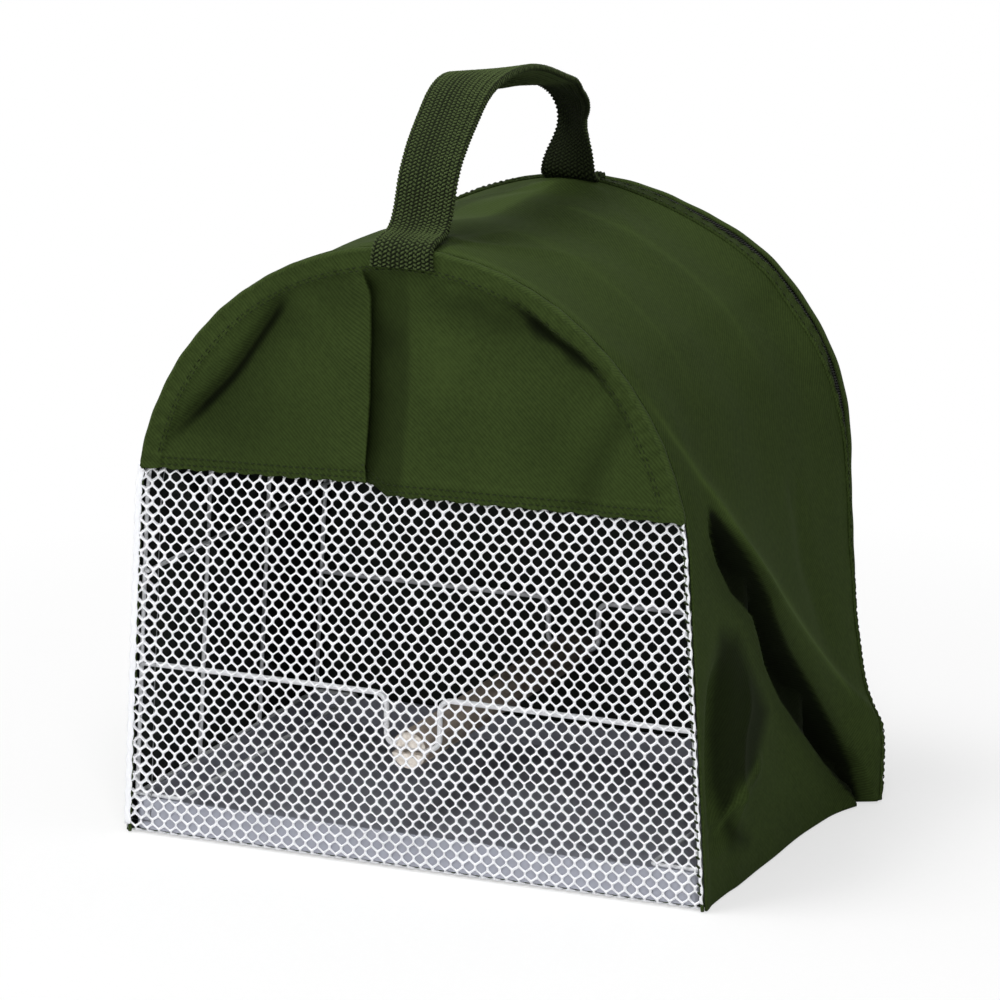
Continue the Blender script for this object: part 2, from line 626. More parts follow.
def block(name, low, high, bevel=0.0, segments=3):
    """A box between two corners with its edges rounded, to be shaped further."""
    low, high = Vector(low), Vector(high)
    bpy.ops.object.select_all(action="DESELECT")
    bpy.ops.mesh.primitive_cube_add(size=1, location=(low + high) / 2)
    obj = named(bpy.context.object, name)
    obj.scale = high - low
    rest(obj)
    if bevel:
        modify(obj, "BEVEL", width=bevel, segments=segments, limit_method="ANGLE")
    return smooth(obj, 35)


def cut(obj, *tools):
    """Takes the tools' shapes out of the object."""
    for tool in tools:
        modify(obj, "BOOLEAN", object=tool, operation="DIFFERENCE", solver="EXACT")
        bpy.data.objects.remove(tool, do_unlink=True)
    return obj


def hand_over(obj, material, body="carrier", stands_for=()):
    """Gives a finished piece its material, its body and the CAD nodes it stands for."""
    if material is not None:
        obj.data.materials.clear()
        obj.data.materials.append(material)
    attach(obj, body)
    if stands_for:
        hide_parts(*stands_for)
    return obj


# Materials.


class Socket:
    """A value in a material's nodes, with the arithmetic that adds Math nodes."""

    def __init__(self, paint, link):
        self.paint, self.link = paint, link

    def maths(self, operation, other=None, swap=False):
        pair = [self] if other is None else ([other, self] if swap else [self, other])
        return self.paint.node("ShaderNodeMath", {"operation": operation}, *pair)

    def __add__(self, other): return self.maths("ADD", other)
    def __radd__(self, other): return self.maths("ADD", other)
    def __sub__(self, other): return self.maths("SUBTRACT", other)
    def __rsub__(self, other): return self.maths("SUBTRACT", other, True)
    def __mul__(self, other): return self.maths("MULTIPLY", other)
    def __rmul__(self, other): return self.maths("MULTIPLY", other)
    def __truediv__(self, other): return self.maths("DIVIDE", other)
    def __pow__(self, other): return self.maths("POWER", other)
    def sin(self): return self.maths("SINE")
    def fract(self): return self.maths("FRACT")
    def floor(self): return self.maths("FLOOR")
    def absolute(self): return self.maths("ABSOLUTE")
    def above(self, other): return self.maths("GREATER_THAN", other)
    def highest(self, other): return self.maths("MAXIMUM", other)
    def lowest(self, other): return self.maths("MINIMUM", other)


class Paint:
    """A procedural material under construction."""

    def __init__(self, name, **constants):
        self.material = bpy.data.materials.new(name)
        self.use(self.material)
        self.shader = self.tree.nodes["Principled BSDF"]
        for key, value in constants.items():
            self.shader.inputs[key.replace("_", " ")].default_value = value

    def use(self, owner):
        """Adds its nodes to this material's or world's tree from here on."""
        owner.use_nodes = True
        self.tree = owner.node_tree

    def node(self, kind, settings, *inputs, output=0, **named_inputs):
        """Adds a node of this type, with its settings set first, then its sockets."""
        made = self.tree.nodes.new(kind)
        for key, value in settings.items():
            if key == "stops":
                ramp = made.color_ramp
                while len(ramp.elements) < len(value):
                    ramp.elements.new(0.5)
                for element, (place, colour) in zip(ramp.elements, value):
                    element.position = place
                    element.color = (*colour, 1) if len(colour) == 3 else colour
            else:
                setattr(made, key, value)
        pairs = [(made.inputs[i], v) for i, v in enumerate(inputs)]
        pairs += [(made.inputs[k.replace("_", " ")], v) for k, v in named_inputs.items()]
        for socket, value in pairs:
            if isinstance(value, Socket):
                self.tree.links.new(value.link, socket)
            elif value is not None:
                socket.default_value = (*value, 1) if socket.type == "RGBA" and len(value) == 3 else value
        return None if output is None else Socket(self, made.outputs[output])

    def place(self):
        """Object coordinates, in metres."""
        return self.node("ShaderNodeTexCoord", {}, output="Object")

    def flat(self):
        """The place on the flat cloth as two numbers, in metres."""
        uv = self.node("ShaderNodeUVMap", {"uv_map": "cloth"})
        split = self.node("ShaderNodeSeparateXYZ", {}, uv)
        return split, Socket(self, split.link.node.outputs[1])

    def attribute(self, name):
        return self.node("ShaderNodeAttribute", {"attribute_name": name}, output="Fac")

    def noise(self, vector, scale, detail=2.0, roughness=0.5, output=0):
        return self.node("ShaderNodeTexNoise", {}, output=output, Vector=vector, Scale=scale,
                         Detail=detail, Roughness=roughness)

    def mix(self, share, a, b, blend="MIX"):
        """One colour into another."""
        return self.node("ShaderNodeMix", {"data_type": "RGBA", "blend_type": blend}, share, None, None, None,
                         None, None, a, b, output=2)

    def finish(self, colour=None, roughness=None, height=None, distance=0.0002, strength=1.0, alpha=None):
        """Links what changes over the surface to the shader."""
        links = self.tree.links
        if colour is not None:
            links.new(colour.link, self.shader.inputs["Base Color"])
        if roughness is not None:
            links.new(roughness.link, self.shader.inputs["Roughness"])
        if alpha is not None:
            links.new(alpha.link, self.shader.inputs["Alpha"])
        if height is not None:
            bump = self.node("ShaderNodeBump", {}, Strength=strength, Distance=distance, Height=height)
            links.new(bump.link, self.shader.inputs["Normal"])
        return self.material


def rgb(colour):
    return tuple(colour)[:3]


def shade(colour, factor):
    return tuple(min(c * factor, 1) for c in rgb(colour))


def cloth_paint(name, colour, pitch=0.0015, relief=0.00012, ribs=1.0, roughness=0.8, folds=True, sheen=0.0):
    """Woven twill: slanting ribs of thread, uneven dye and darker deep folds."""
    p = Paint(name, Sheen_Weight=sheen, Sheen_Roughness=0.45, Specular_IOR_Level=0.04)
    u, v = p.flat()
    place = p.place()
    wander = (p.noise(place, 90.0, 2.0) - 0.5) * (pitch * 1.4)
    rib = ((u + v + wander) * (2 * math.pi / pitch / math.sqrt(2) * 1.0)).sin() * 0.5 + 0.5
    thread = ((u - v) * (2 * math.pi / (pitch * 0.62))).sin() * 0.5 + 0.5
    grain = p.noise(place, 900.0, 2.0)
    weave = rib * 0.65 + thread * 0.2 + grain * 0.3
    blotch = p.noise(place, 22.0, 3.0)
    speck = p.noise(place, 420.0, 2.0)
    tone = (0.65 + 0.50 * ribs * weave + (blotch - 0.5) * 0.34 + (speck - 0.5) * 0.50)
    tinted = p.node("ShaderNodeCombineColor", {}, tone, tone, tone)
    base = p.mix(1.0, (*rgb(colour), 1), tinted, "MULTIPLY")
    if folds:
        deep = p.attribute("fold")
        base = p.mix(deep.highest(0.0) * 0.95, base, (*shade(colour, 0.06), 1))
        base = p.mix((deep * -1.0).highest(0.0), base, (*shade(colour, 2.6), 1))
    dull = roughness + 0.12 * (blotch - 0.5) + 0.06 * (1 - weave)
    return p.finish(base, dull, weave * ribs + grain * 0.4, relief, 0.9)


def build_materials(colours):
    """All finishes of the carrier, by name."""
    made = {}
    made["cover"] = cloth_paint("cover_twill", colours.cover)
    made["rim"] = cloth_paint("seam_twill", shade(colours.cover, 1.16), pitch=0.0012, sheen=0.04, roughness=0.72)
    made["band"] = cloth_paint("hem_twill", shade(colours.cover, 0.97), pitch=0.0012)
    # The coated inside of the cover is nearly black.
    p = Paint("cover_lining", Specular_IOR_Level=0.25)
    place = p.place()
    fine = p.noise(place, 700.0, 2.0)
    worn = p.noise(place, 30.0, 3.0)
    base = p.mix(worn, (*rgb(colours.lining), 1), (*shade(colours.lining, 1.7), 1))
    made["lining"] = p.finish(base, 0.72 + 0.2 * fine, fine, 0.0001)
    # Net yarn: knitted loops along each strand.
    p = Paint("net_yarn", Sheen_Weight=0.1, Specular_IOR_Level=0.35, Subsurface_Weight=0.0)
    place = p.place()
    fibre = p.noise(place, 2600.0, 2.0)
    dirt = p.noise(place, 35.0, 3.0)
    base = p.mix(fibre * 0.55, (*rgb(colours.net), 1), (*shade(colours.net, 0.80), 1))
    base = p.mix((dirt - 0.45).highest(0.0) * 0.5, base, (0.62, 0.63, 0.62, 1))
    made["net"] = p.finish(base, 0.55 + 0.3 * fibre, fibre, 0.00022)
    # Handle webbing: thick slanting ribs with dark gaps between them.
    p = Paint("handle_webbing", Sheen_Weight=0.01, Sheen_Roughness=0.4, Specular_IOR_Level=0.06)
    gap = p.attribute("gap")
    place = p.place()
    fibre = p.noise(place, 1500.0, 3.0)
    blotch = p.noise(place, 40.0, 2.0)
    tone = 0.72 + 0.5 * fibre + 0.2 * (blotch - 0.5)
    tinted = p.node("ShaderNodeCombineColor", {}, tone, tone, tone)
    base = p.mix(1.0, (*rgb(colours.webbing), 1), tinted, "MULTIPLY")
    base = p.mix(gap, base, (*shade(colours.webbing, 0.045), 1))
    made["webbing"] = p.finish(base, 0.65 + 0.25 * fibre, fibre, 0.00025)
    # Powder-coated wire.
    p = Paint("powder_coat", Coat_Weight=0.15, Coat_Roughness=0.25, Specular_IOR_Level=0.5)
    place = p.place()
    peel = p.noise(place, 700.0, 2.0)
    grime = p.noise(place, 60.0, 3.0)
    base = p.mix((grime - 0.5).highest(0.0) * 0.7, (*rgb(colours.wire), 1), (*shade(colours.wire, 0.78), 1))
    made["wire"] = p.finish(base, 0.30 + 0.18 * grime, peel, 0.00008)
    # Zip tape: a fine herringbone of polyester.
    p = Paint("zip_tape", Specular_IOR_Level=0.04)
    u, v = p.flat()
    chevron = ((v * 900.0).fract() - 0.5).absolute()
    rows = ((u * 1400.0 + chevron * 1.4).fract() - 0.5).absolute() * 2
    fibre = p.noise(p.place(), 2200.0, 2.0)
    base = p.mix(rows * 0.6 + fibre * 0.3, (*shade(colours.zip, 1.5), 1), (*rgb(colours.zip), 1))
    made["tape"] = p.finish(base, 0.75 + 0.15 * fibre, rows + fibre * 0.4, 0.0001)
    # Nylon coil.
    p = Paint("zip_nylon", Specular_IOR_Level=0.12)
    grime = p.noise(p.place(), 300.0, 2.0)
    base = p.mix(grime, (*rgb(colours.zip), 1), (*shade(colours.zip, 1.8), 1))
    made["coil"] = p.finish(base, 0.32 + 0.2 * grime, grime, 0.00005)
    # Plated zinc.
    p = Paint("plated_metal", Metallic=1.0)
    place = p.place()
    cloud = p.noise(place, 160.0, 3.0)
    pits = p.noise(place, 1800.0, 2.0)
    base = p.mix(cloud, (*rgb(colours.metal), 1), (*shade(colours.metal, 0.82), 1))
    made["metal"] = p.finish(base, 0.22 + 0.22 * cloud + 0.08 * pits, pits, 0.00003)
    # Turned softwood with grain along its length.
    p = Paint("perch_wood", Specular_IOR_Level=0.3)
    place = p.place()
    along = p.node("ShaderNodeMapping", {}, place, (0, 0, 0), (0, 0, 0), (1.0, 0.06, 1.0))
    grain = p.noise(along, 900.0, 4.0, 0.6)
    rings = p.node("ShaderNodeTexWave", {"wave_type": "RINGS", "rings_direction": "Y"}, Vector=along,
                   Scale=70.0, Distortion=5.0, Detail=3.0, Detail_Scale=1.5)
    blot = p.noise(place, 120.0, 4.0, 0.6)
    base = p.mix(rings * 0.5 + grain * 0.4, (*rgb(colours.wood), 1), (*shade(colours.wood, 0.55), 1))
    base = p.mix((blot - 0.48).highest(0.0) * 2.2, base, (*shade(colours.wood, 0.42), 1))
    ends = p.attribute("end")
    fleck = p.noise(place, 420.0, 3.0, 0.6)
    cut_end = p.mix((fleck - 0.42).highest(0.0) * 2.0, (0.86, 0.80, 0.73, 1), (0.50, 0.43, 0.36, 1))
    base = p.mix(ends, base, cut_end)
    made["wood"] = p.finish(base, 0.68 + 0.2 * grain, grain + blot * 0.6, 0.0003)
    # Moulded tray.
    p = Paint("tray_moulding", Specular_IOR_Level=0.45)
    place = p.place()
    skin = p.noise(place, 1200.0, 2.0)
    scuff = p.noise(place, 45.0, 4.0, 0.6)
    scratch = p.noise(p.node("ShaderNodeMapping", {}, place, (0, 0, 0), (0, 0, 0.6), (1.0, 14.0, 1.0)), 60.0, 3.0)
    base = p.mix((scuff - 0.4).highest(0.0) * 0.7, (*rgb(colours.tray), 1), (*shade(colours.tray, 0.82), 1))
    base = p.mix((scratch - 0.62).highest(0.0) * 1.2, base, (*shade(colours.tray, 1.15), 1))
    made["tray"] = p.finish(base, 0.36 + 0.22 * scuff + 0.1 * skin, skin + scratch * 0.5, 0.00006)
    # Sewing thread.
    for name, colour in (("thread", shade(colours.cover, 0.55)), ("white_thread", rgb(colours.net))):
        p = Paint(name, Specular_IOR_Level=0.08)
        twist = p.noise(p.place(), 3800.0, 1.0)
        base = p.mix(twist, (*colour, 1), (*shade(colour, 0.7), 1))
        made[name] = p.finish(base, 0.5 + 0.2 * twist, twist, 0.00006)
    return made


MADE = {}


def finish_of(name):
    if not MADE:
        MADE.update(build_materials(bpy.context.scene.carrier_colours))
    return MADE[name]


# The sizes and colours a user may change.


def colour(name, description, default):
    return FloatVectorProperty(name=name, description=description, default=default, size=3,
                               subtype="COLOR", min=0, max=1)


def length(name, description, default, low, high):
    return FloatProperty(name=name, description=description, default=default, min=low, max=high,
                         unit="LENGTH", subtype="DISTANCE", precision=4)


class CarrierSizes(PropertyGroup):
    """Sizes of the carrier's soft pieces."""

    cloth_step: length("Cloth step", "Distance between the cloth's vertices", 0.0016, 0.0015, 0.006)
    cloth_wall: length("Cloth thickness", "Thickness of the cover's cloth", 0.0010, 0.0005, 0.0015)
    net_cell: length("Net cell", "Distance between two holes of the net in one row", 0.0062, 0.004, 0.012)
    net_yarn: length("Net yarn", "Thickness of the net", 0.0010, 0.0005, 0.0016)
    stitch: length("Stitch", "Length of one stitch", 0.0024, 0.0015, 0.005)
    rib_pitch: length("Webbing rib", "Distance between the handle's ribs", 0.00205, 0.0015, 0.004)
    seam_r: length("Seam roll", "Radius of the rolled front seam", 0.00155, 0.001, 0.003)
    fold_strength: FloatProperty(name="Folds", description="How deep the cover's folds are, as a share",
                                 default=1.0, min=0, max=1.2, subtype="FACTOR")


class CarrierColours(PropertyGroup):
    """Colours of the carrier."""

    cover: colour("Cover", "Green twill of the cover", (0.0300, 0.0470, 0.0114))
    lining: colour("Lining", "Coated inside of the cover", (0.012, 0.014, 0.012))
    net: colour("Net", "Yarn of the front net", (0.94, 0.95, 0.98))
    webbing: colour("Webbing", "Handle strap", (0.072, 0.102, 0.035))
    wire: colour("Wire", "Powder coat of the cage wires", (0.93, 0.94, 0.96))
    zip: colour("Zip", "Coil and tape of the zip", (0.010, 0.011, 0.009))
    metal: colour("Metal", "Plating of the slider and its pull", (0.72, 0.72, 0.74))
    wood: colour("Perch", "Wood of the perch", (0.47, 0.39, 0.32))
    tray: colour("Tray", "Moulded floor tray", (0.395, 0.405, 0.465))


# Operators.


class CARRIER_OT_stage(Operator):
    """Adds the floor, the studio lights and the camera."""

    bl_idname = "carrier.stage"
    bl_label = "Stage"

    def execute(self, context):
        scene = context.scene
        scene.view_settings.view_transform = "Standard"
        target = Vector((0.0002, 0.004, 0.153))
        a, e, reach = math.radians(24.03), math.radians(13.82), 2.2568
        direction = Vector((math.sin(a) * math.cos(e), -math.cos(a) * math.cos(e), math.sin(e)))
        bpy.ops.object.select_all(action="DESELECT")
        bpy.ops.object.camera_add(location=target + direction * reach)
        camera = context.object
        camera.name = "camera"
        camera.rotation_euler = (-direction).to_track_quat("-Z", "Y").to_euler()
        camera.data.lens = 171.46
        camera.data.sensor_width = 36
        camera.data.clip_end = 20
        scene.camera = camera

        bpy.ops.object.select_all(action="DESELECT")
        bpy.ops.mesh.primitive_plane_add(size=8, location=(0, 0, -0.0004))
        floor = named(context.object, "floor")
        rest(floor)
        p = Paint("floor_paper", Roughness=0.9, Specular_IOR_Level=0.2)
        fleck = p.noise(p.place(), 300.0, 2.0)
        p.finish(p.mix(fleck, (0.84, 0.84, 0.84), (0.88, 0.88, 0.88)))
        # Away from the object the camera sees the paper evenly white.
        seen = p.node("ShaderNodeLightPath", {}, output="Is Camera Ray")
        away = p.node("ShaderNodeVectorMath", {"operation": "LENGTH"}, p.place(), output="Value")
        glow = p.node("ShaderNodeEmission", {}, (1, 1, 1), 1.0)
        both = p.node("ShaderNodeMixShader", {}, seen * (away * 0.9 + 0.45).lowest(1.0),
                      Socket(p, p.shader.outputs[0]), glow)
        p.tree.links.new(both.link, p.tree.nodes["Material Output"].inputs["Surface"])
        floor.data.materials.append(p.material)

        def lamp(name, azimuth, height, distance, size, power):
            az, el = math.radians(azimuth), math.radians(height)
            way = Vector((math.sin(az) * math.cos(el), -math.cos(az) * math.cos(el), math.sin(el)))
            bpy.ops.object.select_all(action="DESELECT")
            bpy.ops.object.light_add(type="AREA", location=target + way * distance)
            light = context.object
            light.name = name
            light.data.size = size
            light.data.energy = power
            light.rotation_euler = (-way).to_track_quat("-Z", "Y").to_euler()

        lamp("key_light", 26, 46, 2.6, 0.7, 26)
        lamp("front_fill", 4, 10, 2.8, 0.9, 12)
        lamp("top_light", -50, 66, 2.6, 1.0, 46)
        lamp("rear_fill", 165, 40, 2.8, 1.8, 5)

        world = scene.world or bpy.data.worlds.new("world")
        scene.world = world
        p.use(world)
        p.tree.nodes.clear()
        rays = [p.node("ShaderNodeLightPath", {}, output=f"Is {ray} Ray") for ray in ("Camera", "Glossy", "Transmission")]
        soft = p.node("ShaderNodeBackground", {}, (1, 1, 1), 0.22)
        white = p.node("ShaderNodeBackground", {}, (1, 1, 1), 1.0)
        both = p.node("ShaderNodeMixShader", {}, rays[0].highest(rays[1]).highest(rays[2]), soft, white)
        p.node("ShaderNodeOutputWorld", {}, both, output=None)
        return {"FINISHED"}


def two_sided(obj, outside, inside):
    """Cloth outside, lining inside."""
    if len(obj.data.materials) < 2:
        raise RuntimeError(f"{obj.name} has no second material place")
    obj.data.materials[0] = finish_of(outside)
    obj.data.materials[1] = finish_of(inside)


class CARRIER_OT_gusset(Operator):
    """Makes the cover's gusset: one strip of cloth over the arch and down both sides, with its folds."""

    bl_idname = "carrier.gusset"
    bl_label = "Gusset"

    def execute(self, context):
        sizes = context.scene.carrier_sizes
        step = sizes.cloth_step
        parts = [(-RUN, -0.18, 1.2), (-0.18, 0.17, 1.9), (0.17, RUN, 0.8)]
        runs = np.concatenate([np.linspace(a, b, round((b - a) / (step * k)) + 1)[:-1] for a, b, k in parts] + [[RUN]])
        ys = np.linspace(SEAM_Y, HEM_Y, round((HEM_Y - SEAM_Y) / step) + 1)
        run, y = np.meshgrid(runs, ys)
        # More of the grid's rows run up the pocket's steep face.
        _, face = pulled(np.abs(run), y)
        t = y - face
        ends = ease((y - SEAM_Y) / 0.012) * ease((HEM_Y - y) / 0.012)
        y = y - 0.62 * t * hump(t, 0.013) * ease((run - 0.180) / 0.02) * ends
        places, dark = cover_place(run, y)
        # The lower hem stays on the floor.
        places[..., 2] = np.maximum(places[..., 2], 0.0002)
        uv = np.stack([run, y], -1)
        obj = lattice("cover_gusset", places, uv, sizes.cloth_wall, -1.0, True, fold=dark)
        two_sided(obj, "cover", "lining")
        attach(obj, "carrier")
        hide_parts("gusset")
        return {"FINISHED"}


def front_place(x, z, y=-0.1010):
    d, dark = front_folds(x, z)
    # The cloth left of the pleat laps over it.
    before = pleat_left(z) - x
    lap = 0.0044 * np.where(before > -0.0003, hump(before, 0.006), 0) * ease((z - 0.150) / 0.03)
    lap = lap * (1 - ease((z - 0.268) / 0.014))
    return np.stack(np.broadcast_arrays(x + lap, y - d, z), -1), dark


class CARRIER_OT_front_panel(Operator):
    """Makes the cloth panel over the net, with its pleat and its pulled creases."""

    bl_idname = "carrier.front_panel"
    bl_label = "Front panel"

    def execute(self, context):
        sizes = context.scene.carrier_sizes
        r = ARCH_R - 0.0012
        widest = math.acos((NET_TOP - ARCH_Z) / r)
        turn = np.linspace(-widest, widest, 321)
        x = r * np.sin(turn)
        extra = -0.022 + np.array([-0.0004, 0.0, 0.0003, 0.0006, 0.0011, 0.0018])
        x = np.sort(np.concatenate([x[np.abs(x + 0.0215) > 0.0014], extra]))
        share = np.linspace(0, 1, 112)[:, None]
        top = ARCH_Z + np.sqrt(np.maximum(r * r - x * x, 0))[None]
        z = NET_TOP + (top - NET_TOP) * share
        # The columns of the grid follow the pleat's edge.
        x = x[None] + (pleat_left(z) + 0.022) * hump(x[None] + 0.022, 0.03)
        # The lower edge waves a little where it is sewn to the net.
        z = z - (1 - share) ** 3 * 0.0004 * np.sin(x * 520) + (1 - share) ** 4 * edge_rise(x)
        places, dark = front_place(x, z)
        # The seam allowance behind the rolled seam is doubled, so a band inside the seam stands up.
        inner = r - np.hypot(x, z - ARCH_Z)
        bend = np.arctan2(x, z - ARCH_Z) * r
        pucker = 0.00022 * np.sin(bend * 2 * math.pi / 0.0068 + 2 * np.sin(bend * 90))
        lift = (0.0008 + pucker) * (1 - ease((inner - 0.0098) / 0.0008)) + 0.0004 * (1 - ease((z - NET_TOP - 0.006) / 0.001))
        places[..., 1] -= lift
        obj = lattice("front_panel_cloth", places, np.stack([x, z], -1), sizes.cloth_wall, -1.0, True, fold=dark)
        two_sided(obj, "cover", "lining")
        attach(obj, "carrier")
        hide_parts("front_panel")
        return {"FINISHED"}


class CARRIER_OT_seam(Operator):
    """Makes the rolled seam between the front and the gusset, and the rows of stitches beside it."""

    bl_idname = "carrier.seam"
    bl_label = "Front seam"

    def execute(self, context):
        r = context.scene.carrier_sizes.seam_r
        limit = run_at(NET_TOP + 0.001)
        runs = np.linspace(-RUN, RUN, 320)
        x, z, nx, nz = outline(runs, -0.0016 + 0.00012 * np.sin(runs * 410) + 0.0001 * np.sin(runs * 173))
        rail = np.stack([x, np.full_like(x, -0.10035), np.maximum(z, 0.0002)], -1)
        out = np.stack([nx, np.zeros_like(nx), nz], -1)
        front = np.tile([0.0, -1.0, 0.0], (len(runs), 1))
        angles = np.linspace(0, 2 * math.pi, 15)[:-1]
        section = [(r * math.cos(a), r * math.sin(a) * 1.05) for a in angles]
        # Below the panel the net lies over the seam, so the roll is thinner there.
        thin = 1 - 0.45 * ease((np.abs(runs) - limit) / 0.004)
        rail[:, 1] += 0.0007 * (1 - thin) / 0.45
        rail -= out * (0.0004 * (1 - thin) / 0.45)[:, None]
        roll = sweep("front_seam_roll", rail, out * thin[:, None], front * thin[:, None], section)
        paint_values(roll, fold=np.zeros(len(roll.data.vertices)))
        hand_over(roll, finish_of("rim"), stands_for=["front_piping"])

        stitch = context.scene.carrier_sizes.stitch
        rows = []
        for index, inset in enumerate((0.0104, 0.0089)):
            runs = np.linspace(-limit + 0.004, limit - 0.004, 300)
            x, z, nx, nz = outline(runs, -inset)
            places, _ = front_place(x, z)
            places[:, 1] -= 0.0007
            out = np.tile([0.0, -1.0, 0.0], (len(runs), 1))
            rows.append(stitches(f"band_stitches_{index}", places, out, stitch, 0.0009, 0.0003))
        x = np.linspace(-half_width(NET_TOP, 0.004), half_width(NET_TOP, 0.004), 200)
        for index, up in enumerate((0.0022, 0.0052)):
            places, _ = front_place(x, NET_TOP + up + edge_rise(x))
            places[:, 1] -= 0.0005
            out = np.tile([0.0, -1.0, 0.0], (len(x), 1))
            rows.append(stitches(f"net_top_stitches_{index}", places, out, stitch, 0.0009, 0.0003))
        hand_over(joined("front_panel_stitches", *rows), finish_of("thread"))
        return {"FINISHED"}


# The net's line from its top edge down the front and round under the tray.
NET_Y, NET_BEND = -0.1000, 0.0034
NET_DOWN = 0.186 - NET_BEND - 0.0006
NET_TURN = NET_BEND * math.pi / 2
NET_LENGTH = NET_DOWN + NET_TURN + 0.0085


def net_place(x, t, out, back=0.0):
    """Where a point of the net lies: x across, t metres down from its top edge, out along its normal."""
    z = np.where(t < NET_DOWN, 0.186 - t, 0)
    angle = np.clip((t - NET_DOWN) / NET_BEND, 0, math.pi / 2)
    tail = np.maximum(t - NET_DOWN - NET_TURN, 0)
    z = np.where(t < NET_DOWN, z, 0.0006 + NET_BEND - NET_BEND * np.sin(angle))
    y = NET_Y + np.where(t < NET_DOWN, 0, NET_BEND * (1 - np.cos(angle))) + tail
    d, _ = front_folds(x, z, 0.0060)
    d = np.minimum(d, 0.0016) - 0.0016 * ease((z - edge_rise(x) - 0.1785) / 0.0015)
    billow = 0.0012 * hump(x, 0.10) * hump(z - 0.09, 0.06) + 0.0004 * wrinkles(x, z, 21, 0.05) * ease((z - 0.012) / 0.02)
    d = (d + billow) * ease((z - 0.004) / 0.02) + out
    ny, nz = -np.cos(angle), -np.sin(angle)
    return np.stack(np.broadcast_arrays(x, y + ny * d + back, z + nz * d), -1)


# One cell of the net in millimetres, for cells 6.2 mm apart: its outline, and the hole in it.
NET_CORNER = np.array([(0, 3.42), (1.55, 2.115), (3.1, 0.81), (3.1, 0), (3.1, -0.81), (1.55, -2.115),
                       (0, -3.42), (-1.55, -2.115), (-3.1, -0.81), (-3.1, 0), (-3.1, 0.81), (-1.55, 2.115)])
NET_HOLE = np.array([(0, 2.54), (1.20, 1.78), (2.34, 0.78), (2.48, 0), (2.34, -0.78), (1.20, -1.78),
                     (0, -2.54), (-1.20, -1.78), (-2.34, -0.78), (-2.48, 0), (-2.34, 0.78), (-1.20, 1.78)])


def net_mesh(name, cell, yarn, low_x, high_x, top, bottom, back=0.0, shift=0.0):
    """Real net: a hexagon of yarn round every hole, cut to its edges."""
    scale = cell / 0.0062
    corner, hole = NET_CORNER * MM * scale, NET_HOLE * MM * scale
    pitch = 4.23 * MM * scale
    rows = int((bottom - top) / pitch) + 1
    rng = np.random.default_rng(3)
    ring, holes = [], []
    for r in range(rows):
        t = top + (r + 0.5) * pitch
        edge = float(high_x(t))
        first = -math.ceil(0.16 / cell)
        for c in range(first, -first + 1):
            x = (c + 0.5 * (r % 2)) * cell + shift
            if not low_x(t) - 0.0012 < x < edge + 0.0012:
                continue
            ring.append(corner * (1, -1) + (x, t))
            wobble = rng.normal(0, 0.00010, 2)
            holes.append(hole * (1, -1) * rng.uniform(0.93, 1.05, 2) + (x, t) + wobble)
    ring, holes = np.array(ring), np.array(holes)
    keys, index = np.unique(np.round(ring.reshape(-1, 2) * 2e5).astype(int), axis=0, return_inverse=True)
    index = index.reshape(ring.shape[:2])
    flat = np.zeros((len(keys), 2))
    flat[index.ravel()] = ring.reshape(-1, 2)
    flat += rng.normal(0, 0.00009, flat.shape)
    hole_flat = holes.reshape(-1, 2)

    def hold(p):
        p = p.copy()
        p[:, 1] = np.clip(p[:, 1], top, bottom)
        p[:, 0] = np.clip(p[:, 0], low_x(p[:, 1]), high_x(p[:, 1]))
        return p

    flat, hole_flat = hold(flat), hold(hole_flat)
    n, m = len(flat), len(hole_flat)
    front = net_place(flat[:, 0], flat[:, 1], yarn / 2, back)
    rear = net_place(flat[:, 0], flat[:, 1], -yarn / 2, back)
    edge = net_place(hole_flat[:, 0], hole_flat[:, 1], 0.0, back)
    count = len(index)
    H = 2 * n + np.arange(m).reshape(count, 12)
    nxt = np.roll(np.arange(12), -1)
    quads = np.concatenate([
        np.stack([index, H, H[:, nxt], index[:, nxt]], -1).reshape(-1, 4),
        np.stack([index + n, index[:, nxt] + n, H[:, nxt], H], -1).reshape(-1, 4),
    ])
    pairs = np.stack([index, index[:, nxt]], -1).reshape(-1, 2)
    ordered = np.sort(pairs, 1)
    _, back_index, times = np.unique(ordered, axis=0, return_inverse=True, return_counts=True)
    rim = pairs[times[back_index.ravel()] == 1]
    quads = np.concatenate([quads, np.stack([rim[:, 0], rim[:, 1], rim[:, 1] + n, rim[:, 0] + n], -1)])
    mesh = bpy.data.meshes.new(name)
    mesh.from_pydata(np.concatenate([front, rear, edge]).tolist(), [], quads.tolist())
    obj = bpy.data.objects.new(name, mesh)
    bpy.context.collection.objects.link(obj)
    tidy(obj, 2e-5)
    alone(obj)
    bpy.ops.object.mode_set(mode="EDIT")
    bpy.ops.mesh.select_all(action="SELECT")
    bpy.ops.mesh.dissolve_degenerate(threshold=1e-5)
    bpy.ops.mesh.normals_make_consistent(inside=False)
    bpy.ops.object.mode_set(mode="OBJECT")
    bpy.ops.object.shade_smooth()
    return obj


